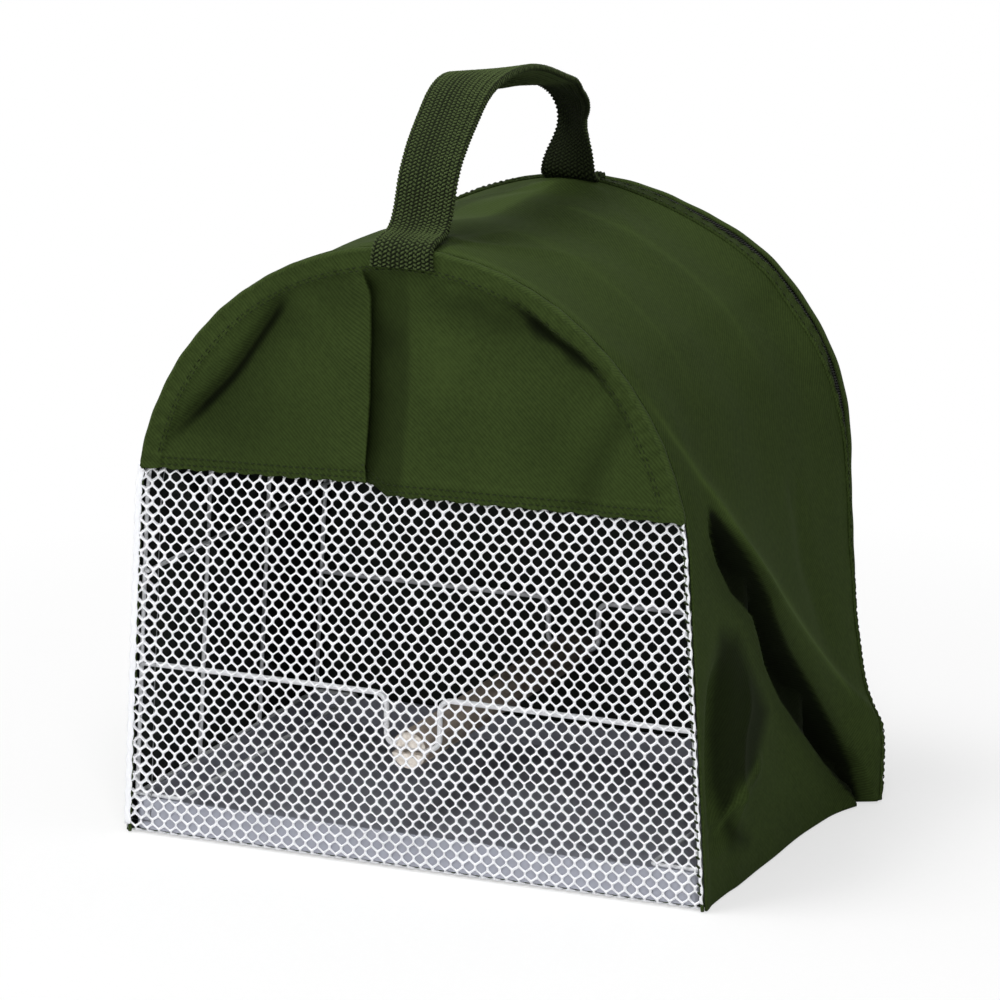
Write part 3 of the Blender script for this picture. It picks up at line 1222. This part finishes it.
class CARRIER_OT_net(Operator):
    """Makes the front net, hole by hole, with its folded white side hems."""

    bl_idname = "carrier.net"
    bl_label = "Net"

    def execute(self, context):
        sizes = context.scene.carrier_sizes
        height = lambda t: np.maximum(0.186 - np.asarray(t, float), 0)
        right = lambda t: half_width(height(t), 0.0012)
        left = lambda t: -half_width(height(t), 0.0010)
        net = net_mesh("front_net", sizes.net_cell, sizes.net_yarn, left, right, 0.0, NET_LENGTH)
        hand_over(net, finish_of("net"), stands_for=["front_mesh"])
        doubled = net_mesh("net_left_turning", sizes.net_cell, sizes.net_yarn,
                           lambda t: -half_width(height(t), 0.0016), lambda t: -half_width(height(t), 0.0125),
                           0.004, 0.180, back=0.0011, shift=0.0027)
        hand_over(doubled, finish_of("net"))
        hems = []
        for side in (-1, 1):
            z = np.linspace(0.0040, 0.1815, 96)
            wave = 0.00035 * np.sin(z * 2 * math.pi / 0.00846)
            wide, inset = (0.0016, 0.0012) if side < 0 else (0.0007, 0.0016)
            x = side * (half_width(z, inset) + wave)
            rail = np.stack([x, np.full_like(x, -0.1006), z], -1)
            across = np.tile([1.0, 0.0, 0.0], (len(z), 1))
            front = np.tile([0.0, -1.0, 0.0], (len(z), 1))
            section = [(wide * math.cos(a) * (1 + 0.1 * math.sin(3 * a)), 0.55 * MM * math.sin(a))
                       for a in np.linspace(0, 2 * math.pi, 13)[:-1]]
            hems.append(sweep(f"hem_{side}", rail, across, front, section))
        hem = hand_over(joined("net_side_hems", *hems), finish_of("net"), stands_for=["mesh_side_hems"])
        z = np.linspace(0.006, 0.180, 90)
        x = half_width(z, 0.0022)
        places = np.stack([x, np.full_like(z, -0.1011), z], -1)
        out = np.tile([0.35, -1.0, 0.0], (len(z), 1))
        rows = stitches("net_side_stitches", places, out, 0.0028, 0.0014, 0.00055, skew=0.9)
        hand_over(rows, finish_of("thread"))
        return {"FINISHED"}


def zip_out(runs):
    """Over the arch, above the slider's way, the zip stands out with the cloth."""
    return 0.0036 * ease((run_at(0.150) - np.abs(runs)) / 0.070) * ease((np.abs(runs) - 0.050) / 0.060)


def zip_rail(y, out, first=-RUN, last=RUN, count=420):
    """Points along the zip's line at one depth."""
    runs = np.linspace(first, last, count)
    x, z, nx, nz = outline(runs, out)
    return runs, np.stack([x, np.full_like(x, y), z], -1), np.stack([nx, np.zeros_like(nx), nz], -1)


class CARRIER_OT_hem_band(Operator):
    """Makes the doubled hem beside the zip and its stitches."""

    bl_idname = "carrier.hem_band"
    bl_label = "Hem band"

    def execute(self, context):
        sizes = context.scene.carrier_sizes
        runs = np.linspace(-RUN, RUN, 520)
        ys = np.concatenate([np.linspace(0.0882, 0.0890, 3), np.linspace(0.0896, 0.0958, 6), np.linspace(0.0964, 0.0970, 3)])
        run, y = np.meshgrid(runs, ys)
        edge = np.minimum(ease((y - 0.0880) / 0.0012), ease((0.0974 - y) / 0.0012))
        places, dark = cover_place(run, y, 0.0)
        x, z, nx, nz = outline(run)
        pucker = 0.00026 * np.sin(run * 2 * math.pi / 0.0072 + 3 * np.sin(run * 60) + y * 300)
        lift = 0.0003 + 0.0008 * edge + pucker * edge + 0.00012 * wrinkles(run, y * 3, 8, 0.02)
        places += np.stack([nx, np.zeros_like(nx), nz], -1) * lift[..., None]
        places[..., 2] = np.maximum(places[..., 2], 0.0002)
        shaded = 0.45 * (1 - ease((np.abs(run) - 0.03) / 0.09))
        obj = lattice("zip_hem_cloth", places, np.stack([y, run], -1), 0.0008, -1.0, False, fold=shaded)
        hand_over(obj, finish_of("band"), stands_for=["zip_hem_band"])
        rows = []
        for k, y in enumerate((0.0898, 0.0958)):
            runs = np.linspace(-RUN + 0.004, RUN - 0.004, 400)
            places, _ = cover_place(runs, np.full_like(runs, y))
            x, z, nx, nz = outline(runs)
            out = np.stack([nx, np.zeros_like(nx), nz], -1)
            rows.append(stitches(f"h{k}", places + out * 0.0011, out, sizes.stitch, 0.0009, 0.0003))
        hand_over(joined("hem_stitches", *rows), finish_of("thread"))
        return {"FINISHED"}


def coil(name, y, start, end):
    """A nylon coil: one filament wound along the zip's line."""
    pitch, steps = 0.0013, 8
    count = int((end - start) / pitch)
    t = np.arange(count * steps + 1) / steps
    runs = start + t * pitch
    angle = t * 2 * math.pi
    x, z, nx, nz = outline(runs, -0.0008 + zip_out(runs) + 0.00048 * np.cos(angle))
    rail = np.stack([x, y + 0.0006 * np.sin(angle), z], -1)
    along = np.gradient(rail, axis=0)
    along /= np.linalg.norm(along, axis=1, keepdims=True)
    out = np.stack([nx, np.zeros_like(nx), nz], -1)
    side = np.cross(along, out)
    side /= np.linalg.norm(side, axis=1, keepdims=True)
    up = np.cross(side, along)
    section = [(0.00030 * math.cos(a), 0.00030 * math.sin(a)) for a in np.linspace(0, 2 * math.pi, 6)[:-1]]
    return sweep(name, rail, side, up, section)


class CARRIER_OT_zip(Operator):
    """Makes the zip: both tapes, both coils and the end stops."""

    bl_idname = "carrier.zip"
    bl_label = "Zip"

    def execute(self, context):
        for name, node, body, y0, y1 in (("zip_tape_cover", "zip_tape_body", "carrier", 0.0880, 0.1009),
                                         ("zip_tape_panel", "zip_tape_door", "rear_door", 0.1011, 0.10635)):
            runs, ys = np.linspace(-RUN, RUN, 260), np.linspace(y0, y1, 8)
            run, y = np.meshgrid(runs, ys)
            x, z, nx, nz = outline(run, -0.0018 + zip_out(run))
            places = np.stack([x, y, z], -1)
            tape = lattice(name, places, np.stack([run, y], -1), 0.0004, -1.0)
            hand_over(tape, finish_of("tape"), body, [node])
        end = run_at(0.0172)
        for name, node, body, y in (("zip_coil_cover", "zip_coil_body", "carrier", 0.1003),
                                    ("zip_coil_panel", "zip_coil_door", "rear_door", 0.1017)):
            hand_over(coil(name, y, -end, end), finish_of("coil"), body, [node])
        stops = []
        for side in (-1, 1):
            low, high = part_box("zip_end_stops")
            z0, z1 = low.z, high.z
            middle = (z0 + z1) / 2
            x = side * (half_width(middle) - 0.0006)
            stop = block("stop", (-0.0012, -0.0026, -0.0010), (0.0012, 0.0026, 0.0010), 0.0004)
            stop.rotation_euler = (0, -side * LEAN, 0)
            stop.location = (x, ZIP_Y - 0.0012, middle)
            stops.append(rest(stop))
        hand_over(joined("zip_stops", *stops), finish_of("metal"), stands_for=["zip_end_stops"])
        return {"FINISHED"}


def on_zip(obj, z):
    """Moves a piece made round the origin to the zip's line at height z on the right side."""
    x = 0.148 - z * math.tan(LEAN)
    obj.rotation_euler = (0, -LEAN, 0)
    obj.location = (x, ZIP_Y, z)
    return rest(obj)


class CARRIER_OT_slider(Operator):
    """Makes the zip's slider with its bridge, and its pull."""

    bl_idname = "carrier.slider"
    bl_label = "Slider and pull"

    def execute(self, context):
        half, long, plate, gap = 0.0036, 0.0096, 0.0011, 0.0003
        low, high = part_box("zip_slider")
        middle = (low.z + high.z) / 2
        parts = []
        for index, x0 in enumerate((gap, -0.00225 - gap - plate)):
            plate_piece = block(f"plate_{index}", (x0, -half, -long / 2), (x0 + plate, half, long / 2))
            alone(plate_piece)
            bpy.ops.object.mode_set(mode="EDIT")
            bpy.ops.mesh.select_all(action="SELECT")
            bpy.ops.mesh.subdivide(number_cuts=6)
            bpy.ops.object.mode_set(mode="OBJECT")
            for v in plate_piece.data.vertices:
                t = v.co.z / (long / 2)
                v.co.y *= 0.72 + 0.28 * ease((t + 0.9) / 1.3)
                if t > 0.6:
                    v.co.z -= 0.0012 * (abs(v.co.y) / half) ** 3
                if t < -0.9:
                    v.co.z += 0.0006 * (abs(v.co.y) / half) ** 2
            modify(plate_piece, "BEVEL", width=0.0003, segments=2, limit_method="ANGLE", angle_limit=math.radians(50))
            parts.append(plate_piece)
        parts.append(block("wedge", (-0.0026, -0.0006, 0.0016), (0.0004, 0.0006, 0.0040), 0.0002))
        path = rounded([(gap + plate - 0.0003, 0, -0.0032), (gap + plate + 0.0025, 0, -0.0032),
                        (gap + plate + 0.0025, 0, 0.0032), (gap + plate - 0.0003, 0, 0.0032)], 0.0012, 8)
        bridge = tube("bridge", path, 0.00062, 3)
        for v in bridge.data.vertices:
            v.co.y *= 1.28
        parts.append(bridge)
        slider = on_zip(joined("zip_slider_cast", *parts), middle)
        smooth(slider, 40)
        hand_over(slider, finish_of("metal"), "slider", ["zip_slider"])

        low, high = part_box("zip_pull")
        width, reach = 0.0048, high.z - low.z
        centre = Vector(((low.x + high.x) / 2, ZIP_Y, high.z))
        pull = block("pull", (-0.00065, -width / 2, -reach), (0.00065, width / 2, 0), 0.0)
        window = block("window", (-0.002, -0.0013, -0.0052), (0.002, 0.0013, -0.0016), 0.0007)
        eye = block("eye", (-0.002, -0.0012, -reach + 0.0012), (0.002, 0.0012, -reach + 0.0044), 0.0011, 5)
        cut(pull, window, eye)
        for v in pull.data.vertices:
            t = -v.co.z / reach
            v.co.y *= 1.0 if t < 0.4 else 1 - 0.16 * math.sin((t - 0.4) / 0.6 * math.pi)
        modify(pull, "BEVEL", width=0.00032, segments=2, limit_method="ANGLE", angle_limit=math.radians(45))
        pull.location = centre
        rest(pull)
        named(pull, "zip_pull_tab")
        smooth(pull, 35)
        hand_over(pull, finish_of("metal"), "pull", ["zip_pull"])
        return {"FINISHED"}


class CARRIER_OT_rear_panel(Operator):
    """Makes the rear panel with its rim, and the bottom panel."""

    bl_idname = "carrier.rear_panel"
    bl_label = "Rear and bottom panels"

    def execute(self, context):
        sizes = context.scene.carrier_sizes
        # Rear panel: rings that shrink from the outline to its middle line.
        runs = np.linspace(-RUN, RUN, 241)
        share = np.concatenate([np.linspace(0, 0.08, 5)[:-1], np.linspace(0.08, 1, 40)])[:, None]
        x, z, nx, nz = outline(runs, -0.0004 + 1.15 * zip_out(runs))
        z = np.maximum(z, 0.0002)
        mid_x = np.zeros_like(x)
        px = x[None] * (1 - share) + mid_x[None] * share
        pz = np.broadcast_to(z[None], px.shape)
        inner = np.minimum((half_width(pz) - np.abs(px)), 0.05)
        top = np.where(pz > ARCH_Z, ARCH_R - np.hypot(px, pz - ARCH_Z), 0.05)
        keep = ease((np.minimum(inner, top) - 0.007) / 0.016)
        puff = 0.0020 * keep * hump(pz - 0.12, 0.14) + 0.0011 * keep * wrinkles(px, pz, 31, 0.07)
        sag = from_line(px, pz, fold_line((-118, 150), (-70, 95), (-25, 45), (10, 10)))[0]
        cross = from_line(px, pz, fold_line((120, 140), (84, 90), (60, 40), (52, 6)))[0]
        folds = keep * (0.0028 * crest(sag, 0.010, 0.002) + 0.0024 * crest(cross, 0.009, 0.002))
        # The slack cloth hangs inside its rim, so that the open panel lies flat on what it is laid on.
        # The perch's end holds it out when the perch is slid back.
        low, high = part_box("perch")
        perch_end = np.hypot(px - (low[0] + high[0]) / 2, pz - (low[2] + high[2]) / 2)
        slack = 0.0046 * ease((perch_end - 0.013) / 0.045)
        y = 0.1076 + np.clip(puff + folds - 0.0046 * keep, -slack, 0.0001) * ease((pz - 0.002) / 0.02)
        places = np.stack([px, y, pz], -1)
        dark = 0.25 * keep * (hump(sag - 0.007, 0.006) + hump(cross + 0.007, 0.006))
        if not faces_out(places, (0, 0, 0.1)):
            places, dark, px, pz = places[::-1], dark[::-1], px[::-1], pz[::-1]
        obj = lattice("rear_panel_cloth", places, np.stack([px, pz], -1), sizes.cloth_wall, -1.0, True,
                      merge=2e-6, fold=dark)
        two_sided(obj, "cover", "lining")
        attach(obj, "rear_door")
        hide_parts("rear_panel")

        runs = np.linspace(-RUN, RUN, 300)
        section = [(-0.0016, -0.0015), (-0.0004, -0.0016), (0.0003, -0.0013), (0.0006, -0.0004), (0.0006, 0.0004),
                   (0.0003, 0.0014), (-0.0004, 0.0019), (-0.0016, 0.0018)]
        x, z, nx, nz = outline(runs, 1.15 * zip_out(runs) + 0.00012 * np.sin(runs * 320))
        rail = np.stack([x, np.full_like(x, 0.1059), np.maximum(z, 0.0002)], -1)
        out = np.stack([nx, np.zeros_like(nx), nz], -1)
        back = np.tile([0.0, 1.0, 0.0], (len(runs), 1))
        rim = sweep("rear_seam_roll", rail, out, back, section)
        paint_values(rim, fold=np.zeros(len(rim.data.vertices)))
        hand_over(rim, finish_of("rim"), "rear_door", ["rear_panel_rim"])
        runs = np.linspace(-RUN + 0.004, RUN - 0.004, 400)
        x, z, nx, nz = outline(runs, -0.0055)
        places = np.stack([x, np.full_like(x, 0.1077), z], -1)
        out = np.tile([0.0, 1.0, 0.0], (len(runs), 1))
        rows = stitches("rear_panel_stitches", places, out, sizes.stitch, 0.0009, 0.0003)
        hand_over(rows, finish_of("thread"), "rear_door")

        # The bottom panel ends in a lip that is sewn up the inside of the rear panel, and hinges it.
        xs = np.linspace(-0.1462, 0.1462, 80)
        ys = np.concatenate([np.linspace(-0.0975, 0.1060, 56), np.linspace(0.1060, 0.1096, 9)[1:]])
        x, y = np.meshgrid(xs, ys)
        hem = np.minimum(np.minimum(x + 0.1462, 0.1462 - x), np.minimum(y + 0.0975, 0.1062 - y))
        lip = np.clip((y - 0.1060) / 0.0036, 0, 1)
        z = 0.00095 + 0.00025 * ease(hem / 0.012) + 0.00012 * wrinkles(x, y, 41, 0.06) * ease(hem / 0.01) + 0.0032 * lip
        x, y = x * (1 - 0.014 * lip), np.minimum(y, 0.1060) + 0.0005 * ease(lip * 3)
        places = np.stack([x, y, z], -1)[::-1]
        obj = lattice("bottom_cloth", places, np.stack([x, y], -1)[::-1], 0.0006, -1.0, True, fold=z * 0)
        two_sided(obj, "cover", "lining")
        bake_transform(obj)
        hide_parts("bottom_panel")
        return {"FINISHED"}


def bezier(a, b, c, d, count):
    t = np.linspace(0, 1, count)[:, None]
    a, b, c, d = (np.array(p, float) for p in (a, b, c, d))
    return a * (1 - t) ** 3 + 3 * b * t * (1 - t) ** 2 + 3 * c * t * t * (1 - t) + d * t**3


class CARRIER_OT_handle(Operator):
    """Makes the handle: one woven strap from its sewn front end over the top to its sewn rear end."""

    bl_idname = "carrier.handle"
    bl_label = "Handle"

    def execute(self, context):
        pitch = context.scene.carrier_sizes.rib_pitch
        middle = np.concatenate([
            bezier((-103.7, 284.0), (-103.7, 287), (-103.7, 289), (-103.4, 291), 8)[:-1],
            bezier((-103.4, 291), (-102.6, 296), (-96, 295.6), (-90.5, 296.4), 10)[:-1],
            bezier((-90.5, 296.4), (-84.5, 298), (-81.5, 305), (-78.5, 315), 10)[:-1],
            bezier((-78.5, 315), (-74, 329), (-61, 339), (-51, 347), 20)[:-1],
            bezier((-51, 347), (-42, 355.5), (-30, 359.6), (-15, 359.2), 20)[:-1],
            bezier((-15, 359.2), (4, 358.4), (36, 350), (55, 346.5), 24)[:-1],
            bezier((55, 346.5), (72, 343), (87, 337), (88, 325), 20)[:-1],
            bezier((88, 325), (88.5, 316), (84.5, 308), (84, 301), 12)[:-1],
            bezier((84, 301), (83.8, 298), (84, 296.6), (86, 296), 6)[:-1],
            bezier((86, 296), (88, 294.6), (90, 294.6), (95.5, 294.6), 6),
        ]) * MM
        run = np.concatenate([[0], np.cumsum(np.hypot(*(middle[1:] - middle[:-1]).T))])
        total = run[-1]
        step = pitch * 0.235
        t = np.linspace(0, total, int(total / step))
        for _ in range(2):
            middle[1:-1] = (middle[:-2] + 2 * middle[1:-1] + middle[2:]) / 4
        y, z = np.interp(t, run, middle[:, 0]), np.interp(t, run, middle[:, 1])
        for _ in range(6):
            y[1:-1] = (y[:-2] + 2 * y[1:-1] + y[2:]) / 4
            z[1:-1] = (z[:-2] + 2 * z[1:-1] + z[2:]) / 4
        share = t / total
        rear_leg = ease((y - 0.060) / 0.012)
        rail = np.stack([0.0006 * np.sin(share * 9) + 0.0022 * hump(z - 0.3225, 0.014) * rear_leg, y, z], -1)
        along = np.gradient(rail, axis=0)
        along /= np.linalg.norm(along, axis=1, keepdims=True)
        across = np.tile([1.0, 0.0, 0.0], (len(t), 1))
        out = np.cross(across, along)
        out /= np.linalg.norm(out, axis=1, keepdims=True)
        out *= np.where(out[:, 2:] * 0 + np.sum(out * (rail - np.array([0, 0, 0.31])), 1, keepdims=True) < 0, -1, 1)
        out[: int(0.05 * len(t))] = np.where(out[: int(0.05 * len(t)), 1:2] > 0, -1, 1) * out[: int(0.05 * len(t))]
        twist = (-0.66 * hump(z - 0.3225, 0.017) * rear_leg + 0.36 * hump(y - 0.022, 0.032) * (1 - rear_leg)
                 - 0.10 * hump(y + 0.040, 0.025) * (z > 0.33))
        c, s = np.cos(twist)[:, None], np.sin(twist)[:, None]
        across, out = across * c + out * s, out * c - across * s
        # The section: 30 mm wide, with ribs that slant one way in one column and the other way in the next.
        wide, thick = 0.0148, 0.00125
        across_count = 60
        u = np.linspace(-1, 1, across_count)
        lean = np.where(np.floor((u + 1) * wide / pitch) % 2 == 0, 1.0, -1.0)
        column = np.abs(((u + 1) * wide / pitch) % 1 - 0.5) * 2
        phase = t[:, None] / (pitch * 0.88) + (lean * 0.5 * (((u + 1) * wide / pitch) % 1))[None]
        rib = np.abs((phase % 1) - 0.5) * 2
        groove = np.maximum(ease((rib - 0.26) / 0.30), 0.95 * ease((column[None] - 0.54) / 0.26))
        height = 0.00070 * (1 - groove)
        edge_wave = 1 + 0.018 * np.sin(t * 2 * math.pi / (pitch * 0.88))
        narrow = (1 - 0.14 * hump(z - 0.3225, 0.016) * rear_leg + 0.05 * hump(share, 0.02))[:, None]
        curl = (0.0022 * hump(z - 0.3225, 0.018) * rear_leg + 0.0010 * hump(share - 0.5, 0.15))[:, None] * (u[None] ** 2)
        taper = np.sqrt(np.maximum(1 - (np.abs(u) - 0.93).clip(0) ** 2 / 0.07**2, 0.05))[None]
        width = wide * edge_wave[:, None] * narrow * u[None]
        upper = rail[:, None] + across[:, None] * width[..., None] + out[:, None] * ((thick * taper + height * taper) - curl)[..., None]
        lower = rail[:, None] + across[:, None] * width[..., None] - out[:, None] * ((thick * taper + height * taper) + curl)[..., None]
        places = np.concatenate([upper, lower[:, ::-1], upper[:, :1]], 1)
        # The inner face of the rear leg lies in shade.
        inner = np.maximum(groove, 0.80 * ease((y - 0.045) / 0.03)[:, None] * ease((z - 0.29) / 0.01)[:, None])
        gap = np.concatenate([groove, inner[:, ::-1], groove[:, :1]], 1)
        around = np.concatenate([width, width[:, ::-1], width[:, :1]], 1)
        uv = np.stack([np.broadcast_to(t[:, None], around.shape), around], -1)
        strap = lattice("handle_webbing", places, uv, gap=gap)
        tidy(strap, 1e-6)
        cap(strap)
        tidy(strap, 1e-7)
        bpy.ops.object.shade_smooth()
        strap.data.materials.append(finish_of("webbing"))
        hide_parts("handle_strap", "handle_root_front", "handle_root_rear")
        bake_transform(strap)
        return {"FINISHED"}


class CARRIER_OT_wires(Operator):
    """Makes the cage's wires: four hoops, two side ties, two foot loops and two perch rails."""

    bl_idname = "carrier.wires"
    bl_label = "Wires"

    def execute(self, context):
        coat = finish_of("wire")
        r = 0.001
        foot = 0.0193
        for name, node, y in (("hoop_wire_front", "hoop_front", -0.096), ("hoop_wire_second", "hoop_second", -0.032),
                              ("hoop_wire_third", "hoop_third", 0.032), ("hoop_wire_rear", "hoop_rear", 0.096)):
            end = run_at(foot)
            runs = np.linspace(-end, end, 160)
            x, z, _, _ = outline(runs, -0.0036)
            hoop = tube(name, np.stack([x, np.full_like(x, y), z], -1), r)
            hand_over(hoop, coat, stands_for=[node])
        welds, frames = [], []
        for name, side in (("left", -1), ("right", 1)):
            tie = tube(f"tie_wire_{name}", [(side * 0.13505, y, 0.128) for y in np.linspace(-0.097, 0.097, 12)], r)
            hand_over(tie, coat, stands_for=[f"side_tie_{name}"])
            inner, outer = side * 0.11986, side * 0.14336
            corners = [(inner, 0, 0.0182), (inner, -0.096, 0.0182), (outer, -0.096, 0.0182), (outer, 0.096, 0.0182),
                       (inner, 0.096, 0.0182), (inner, 0, 0.0182)]
            loop = tube(f"foot_wire_{name}", rounded(corners, 0.0022, 5), r)
            hand_over(loop, coat, stands_for=[f"foot_loop_{name}"])
            for y in (-0.096, -0.032, 0.032, 0.096):
                welds.append((side * 0.1363, y, 0.128))
                welds.append((outer, y, 0.0186))
        for name, y in (("front", -0.09365), ("rear", 0.09365)):
            reach, leg = 0.1407, 0.0135
            points = [(-reach, y, 0.082), (-leg, y, 0.082), (-leg, y, 0.0575), (leg, y, 0.0575), (leg, y, 0.082),
                      (reach, y, 0.082)]
            rail = tube(f"rail_wire_{name}", rounded(points, 0.006, 8), 0.0013, 4)
            hand_over(rail, coat, stands_for=[f"perch_rail_{name}"])
            for side in (-1, 1):
                welds.append((side * 0.1394, y * 1.012, 0.082))
        bpy.ops.object.select_all(action="DESELECT")
        bpy.ops.mesh.primitive_ico_sphere_add(subdivisions=2, radius=0.00145)
        bead = context.object
        shape = np.array([v.co[:] for v in bead.data.vertices]) * (1, 1, 0.85)
        faces = [tuple(f.vertices) for f in bead.data.polygons]
        bpy.data.objects.remove(bead, do_unlink=True)
        frames = np.tile(np.eye(3), (len(welds), 1, 1))
        hand_over(copies("weld_beads", shape, faces, welds, frames), coat)
        return {"FINISHED"}


class CARRIER_OT_perch(Operator):
    """Makes the wooden perch with a slot in each end for its rail."""

    bl_idname = "carrier.perch"
    bl_label = "Perch"

    def execute(self, context):
        low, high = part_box("perch")
        r = (high.x - low.x) / 2
        length_y = high.y - low.y
        bpy.ops.object.select_all(action="DESELECT")
        bpy.ops.mesh.primitive_cylinder_add(vertices=64, radius=r - 0.0002, depth=length_y)
        perch = named(context.object, "perch_dowel")
        alone(perch)
        bpy.ops.object.mode_set(mode="EDIT")
        bpy.ops.mesh.select_all(action="SELECT")
        bpy.ops.mesh.bisect(plane_co=(0, 0, length_y / 2 - 0.02), plane_no=(0, 0, 1))
        bpy.ops.mesh.select_all(action="SELECT")
        bpy.ops.mesh.bisect(plane_co=(0, 0, -length_y / 2 + 0.02), plane_no=(0, 0, 1))
        bpy.ops.object.mode_set(mode="OBJECT")
        perch.rotation_euler = (math.pi / 2, 0, 0)
        perch.location = (0, (low.y + high.y) / 2, (low.z + high.z) / 2)
        rest(perch)
        modify(perch, "BEVEL", width=0.0009, segments=3, limit_method="ANGLE", angle_limit=math.radians(60))
        middle = (low.z + high.z) / 2
        tools = []
        for y0, y1 in ((low.y - 0.002, low.y + 0.015), (high.y - 0.015, high.y + 0.002)):
            tools.append(block("slot", (-r - 0.002, y0, middle - 0.0017), (r + 0.002, y1, middle + 0.0017), 0.0004, 2))
        cut(perch, *tools)
        modify(perch, "TRIANGULATE")
        smooth(perch, 35)
        co = np.array([v.co[:] for v in perch.data.vertices])
        near = np.minimum(np.abs(co[:, 1] - low.y), np.abs(co[:, 1] - high.y))
        paint_values(perch, end=(near < 0.0005).astype(float))
        hand_over(perch, finish_of("wood"), "perch", ["perch"])
        return {"FINISHED"}


class CARRIER_OT_tray(Operator):
    """Makes the moulded floor tray with its rim and rounded corners."""

    bl_idname = "carrier.tray"
    bl_label = "Tray"

    def execute(self, context):
        low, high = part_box("tray")
        wall, floor, corner = 0.0025, 0.0020, 0.006
        tray = block("tray_moulded", low, high)
        alone(tray)
        bpy.ops.object.mode_set(mode="EDIT")
        bpy.ops.mesh.select_mode(type="EDGE")
        bpy.ops.mesh.select_all(action="DESELECT")
        bpy.ops.object.mode_set(mode="OBJECT")
        for e in tray.data.edges:
            a, b = (tray.data.vertices[i].co for i in e.vertices)
            e.select = abs(a.z - b.z) > 0.001
        bpy.ops.object.mode_set(mode="EDIT")
        bpy.ops.mesh.bevel(offset=corner, segments=8)
        bpy.ops.mesh.select_mode(type="FACE")
        bpy.ops.mesh.select_all(action="DESELECT")
        bpy.ops.object.mode_set(mode="OBJECT")
        for f in tray.data.polygons:
            f.select = f.normal.z > 0.9
        bpy.ops.object.mode_set(mode="EDIT")
        bpy.ops.mesh.inset(thickness=wall, depth=0)
        bpy.ops.mesh.extrude_region_move(TRANSFORM_OT_translate={"value": (0, 0, -(high.z - low.z - floor))})
        bpy.ops.mesh.inset(thickness=0.004, depth=0)
        bpy.ops.transform.translate(value=(0, 0, -0.0))
        bpy.ops.object.mode_set(mode="OBJECT")
        bpy.ops.object.mode_set(mode="EDIT")
        bpy.ops.mesh.select_mode(type="VERT")
        bpy.ops.mesh.select_all(action="SELECT")
        bpy.ops.mesh.normals_make_consistent(inside=False)
        bpy.ops.object.mode_set(mode="OBJECT")
        modify(tray, "BEVEL", width=0.0007, segments=3, limit_method="ANGLE", angle_limit=math.radians(40))
        smooth(tray, 35)
        hand_over(tray, finish_of("tray"), stands_for=["tray"])
        return {"FINISHED"}


class CARRIER_OT_cloth_cuts(Operator):
    """Says of each sheet of cloth how large it was cut, and how it is held."""

    bl_idname = "carrier.cloth_cuts"
    bl_label = "Cloth cuts"

    def execute(self, context):
        return {"FINISHED"}


STEPS = (CARRIER_OT_stage, CARRIER_OT_gusset, CARRIER_OT_front_panel, CARRIER_OT_seam, CARRIER_OT_net,
         CARRIER_OT_hem_band, CARRIER_OT_zip, CARRIER_OT_slider, CARRIER_OT_rear_panel, CARRIER_OT_handle,
         CARRIER_OT_wires, CARRIER_OT_perch, CARRIER_OT_tray, CARRIER_OT_cloth_cuts)


class CARRIER_PT_panel(Panel):
    """The carrier's sizes, colours and pieces."""

    bl_label = "Bird travel carrier"
    bl_idname = "CARRIER_PT_panel"
    bl_space_type = "VIEW_3D"
    bl_region_type = "UI"
    bl_category = "Carrier"

    def draw(self, context):
        for group in (context.scene.carrier_sizes, context.scene.carrier_colours):
            box = self.layout.box()
            for name in group.bl_rna.properties.keys():
                if name not in ("rna_type", "name"):
                    box.prop(group, name)
        for step in STEPS:
            self.layout.operator(step.bl_idname)


CLASSES = (CarrierSizes, CarrierColours, *STEPS, CARRIER_PT_panel)


def register():
    for cls in CLASSES:
        bpy.utils.register_class(cls)
    bpy.types.Scene.carrier_sizes = PointerProperty(type=CarrierSizes)
    bpy.types.Scene.carrier_colours = PointerProperty(type=CarrierColours)


def unregister():
    del bpy.types.Scene.carrier_colours
    del bpy.types.Scene.carrier_sizes
    for cls in reversed(CLASSES):
        bpy.utils.unregister_class(cls)


def main():
    register()
    for step in STEPS:
        area, name = step.bl_idname.split(".")
        getattr(getattr(bpy.ops, area), name)()


if __name__ == "__main__":
    main()
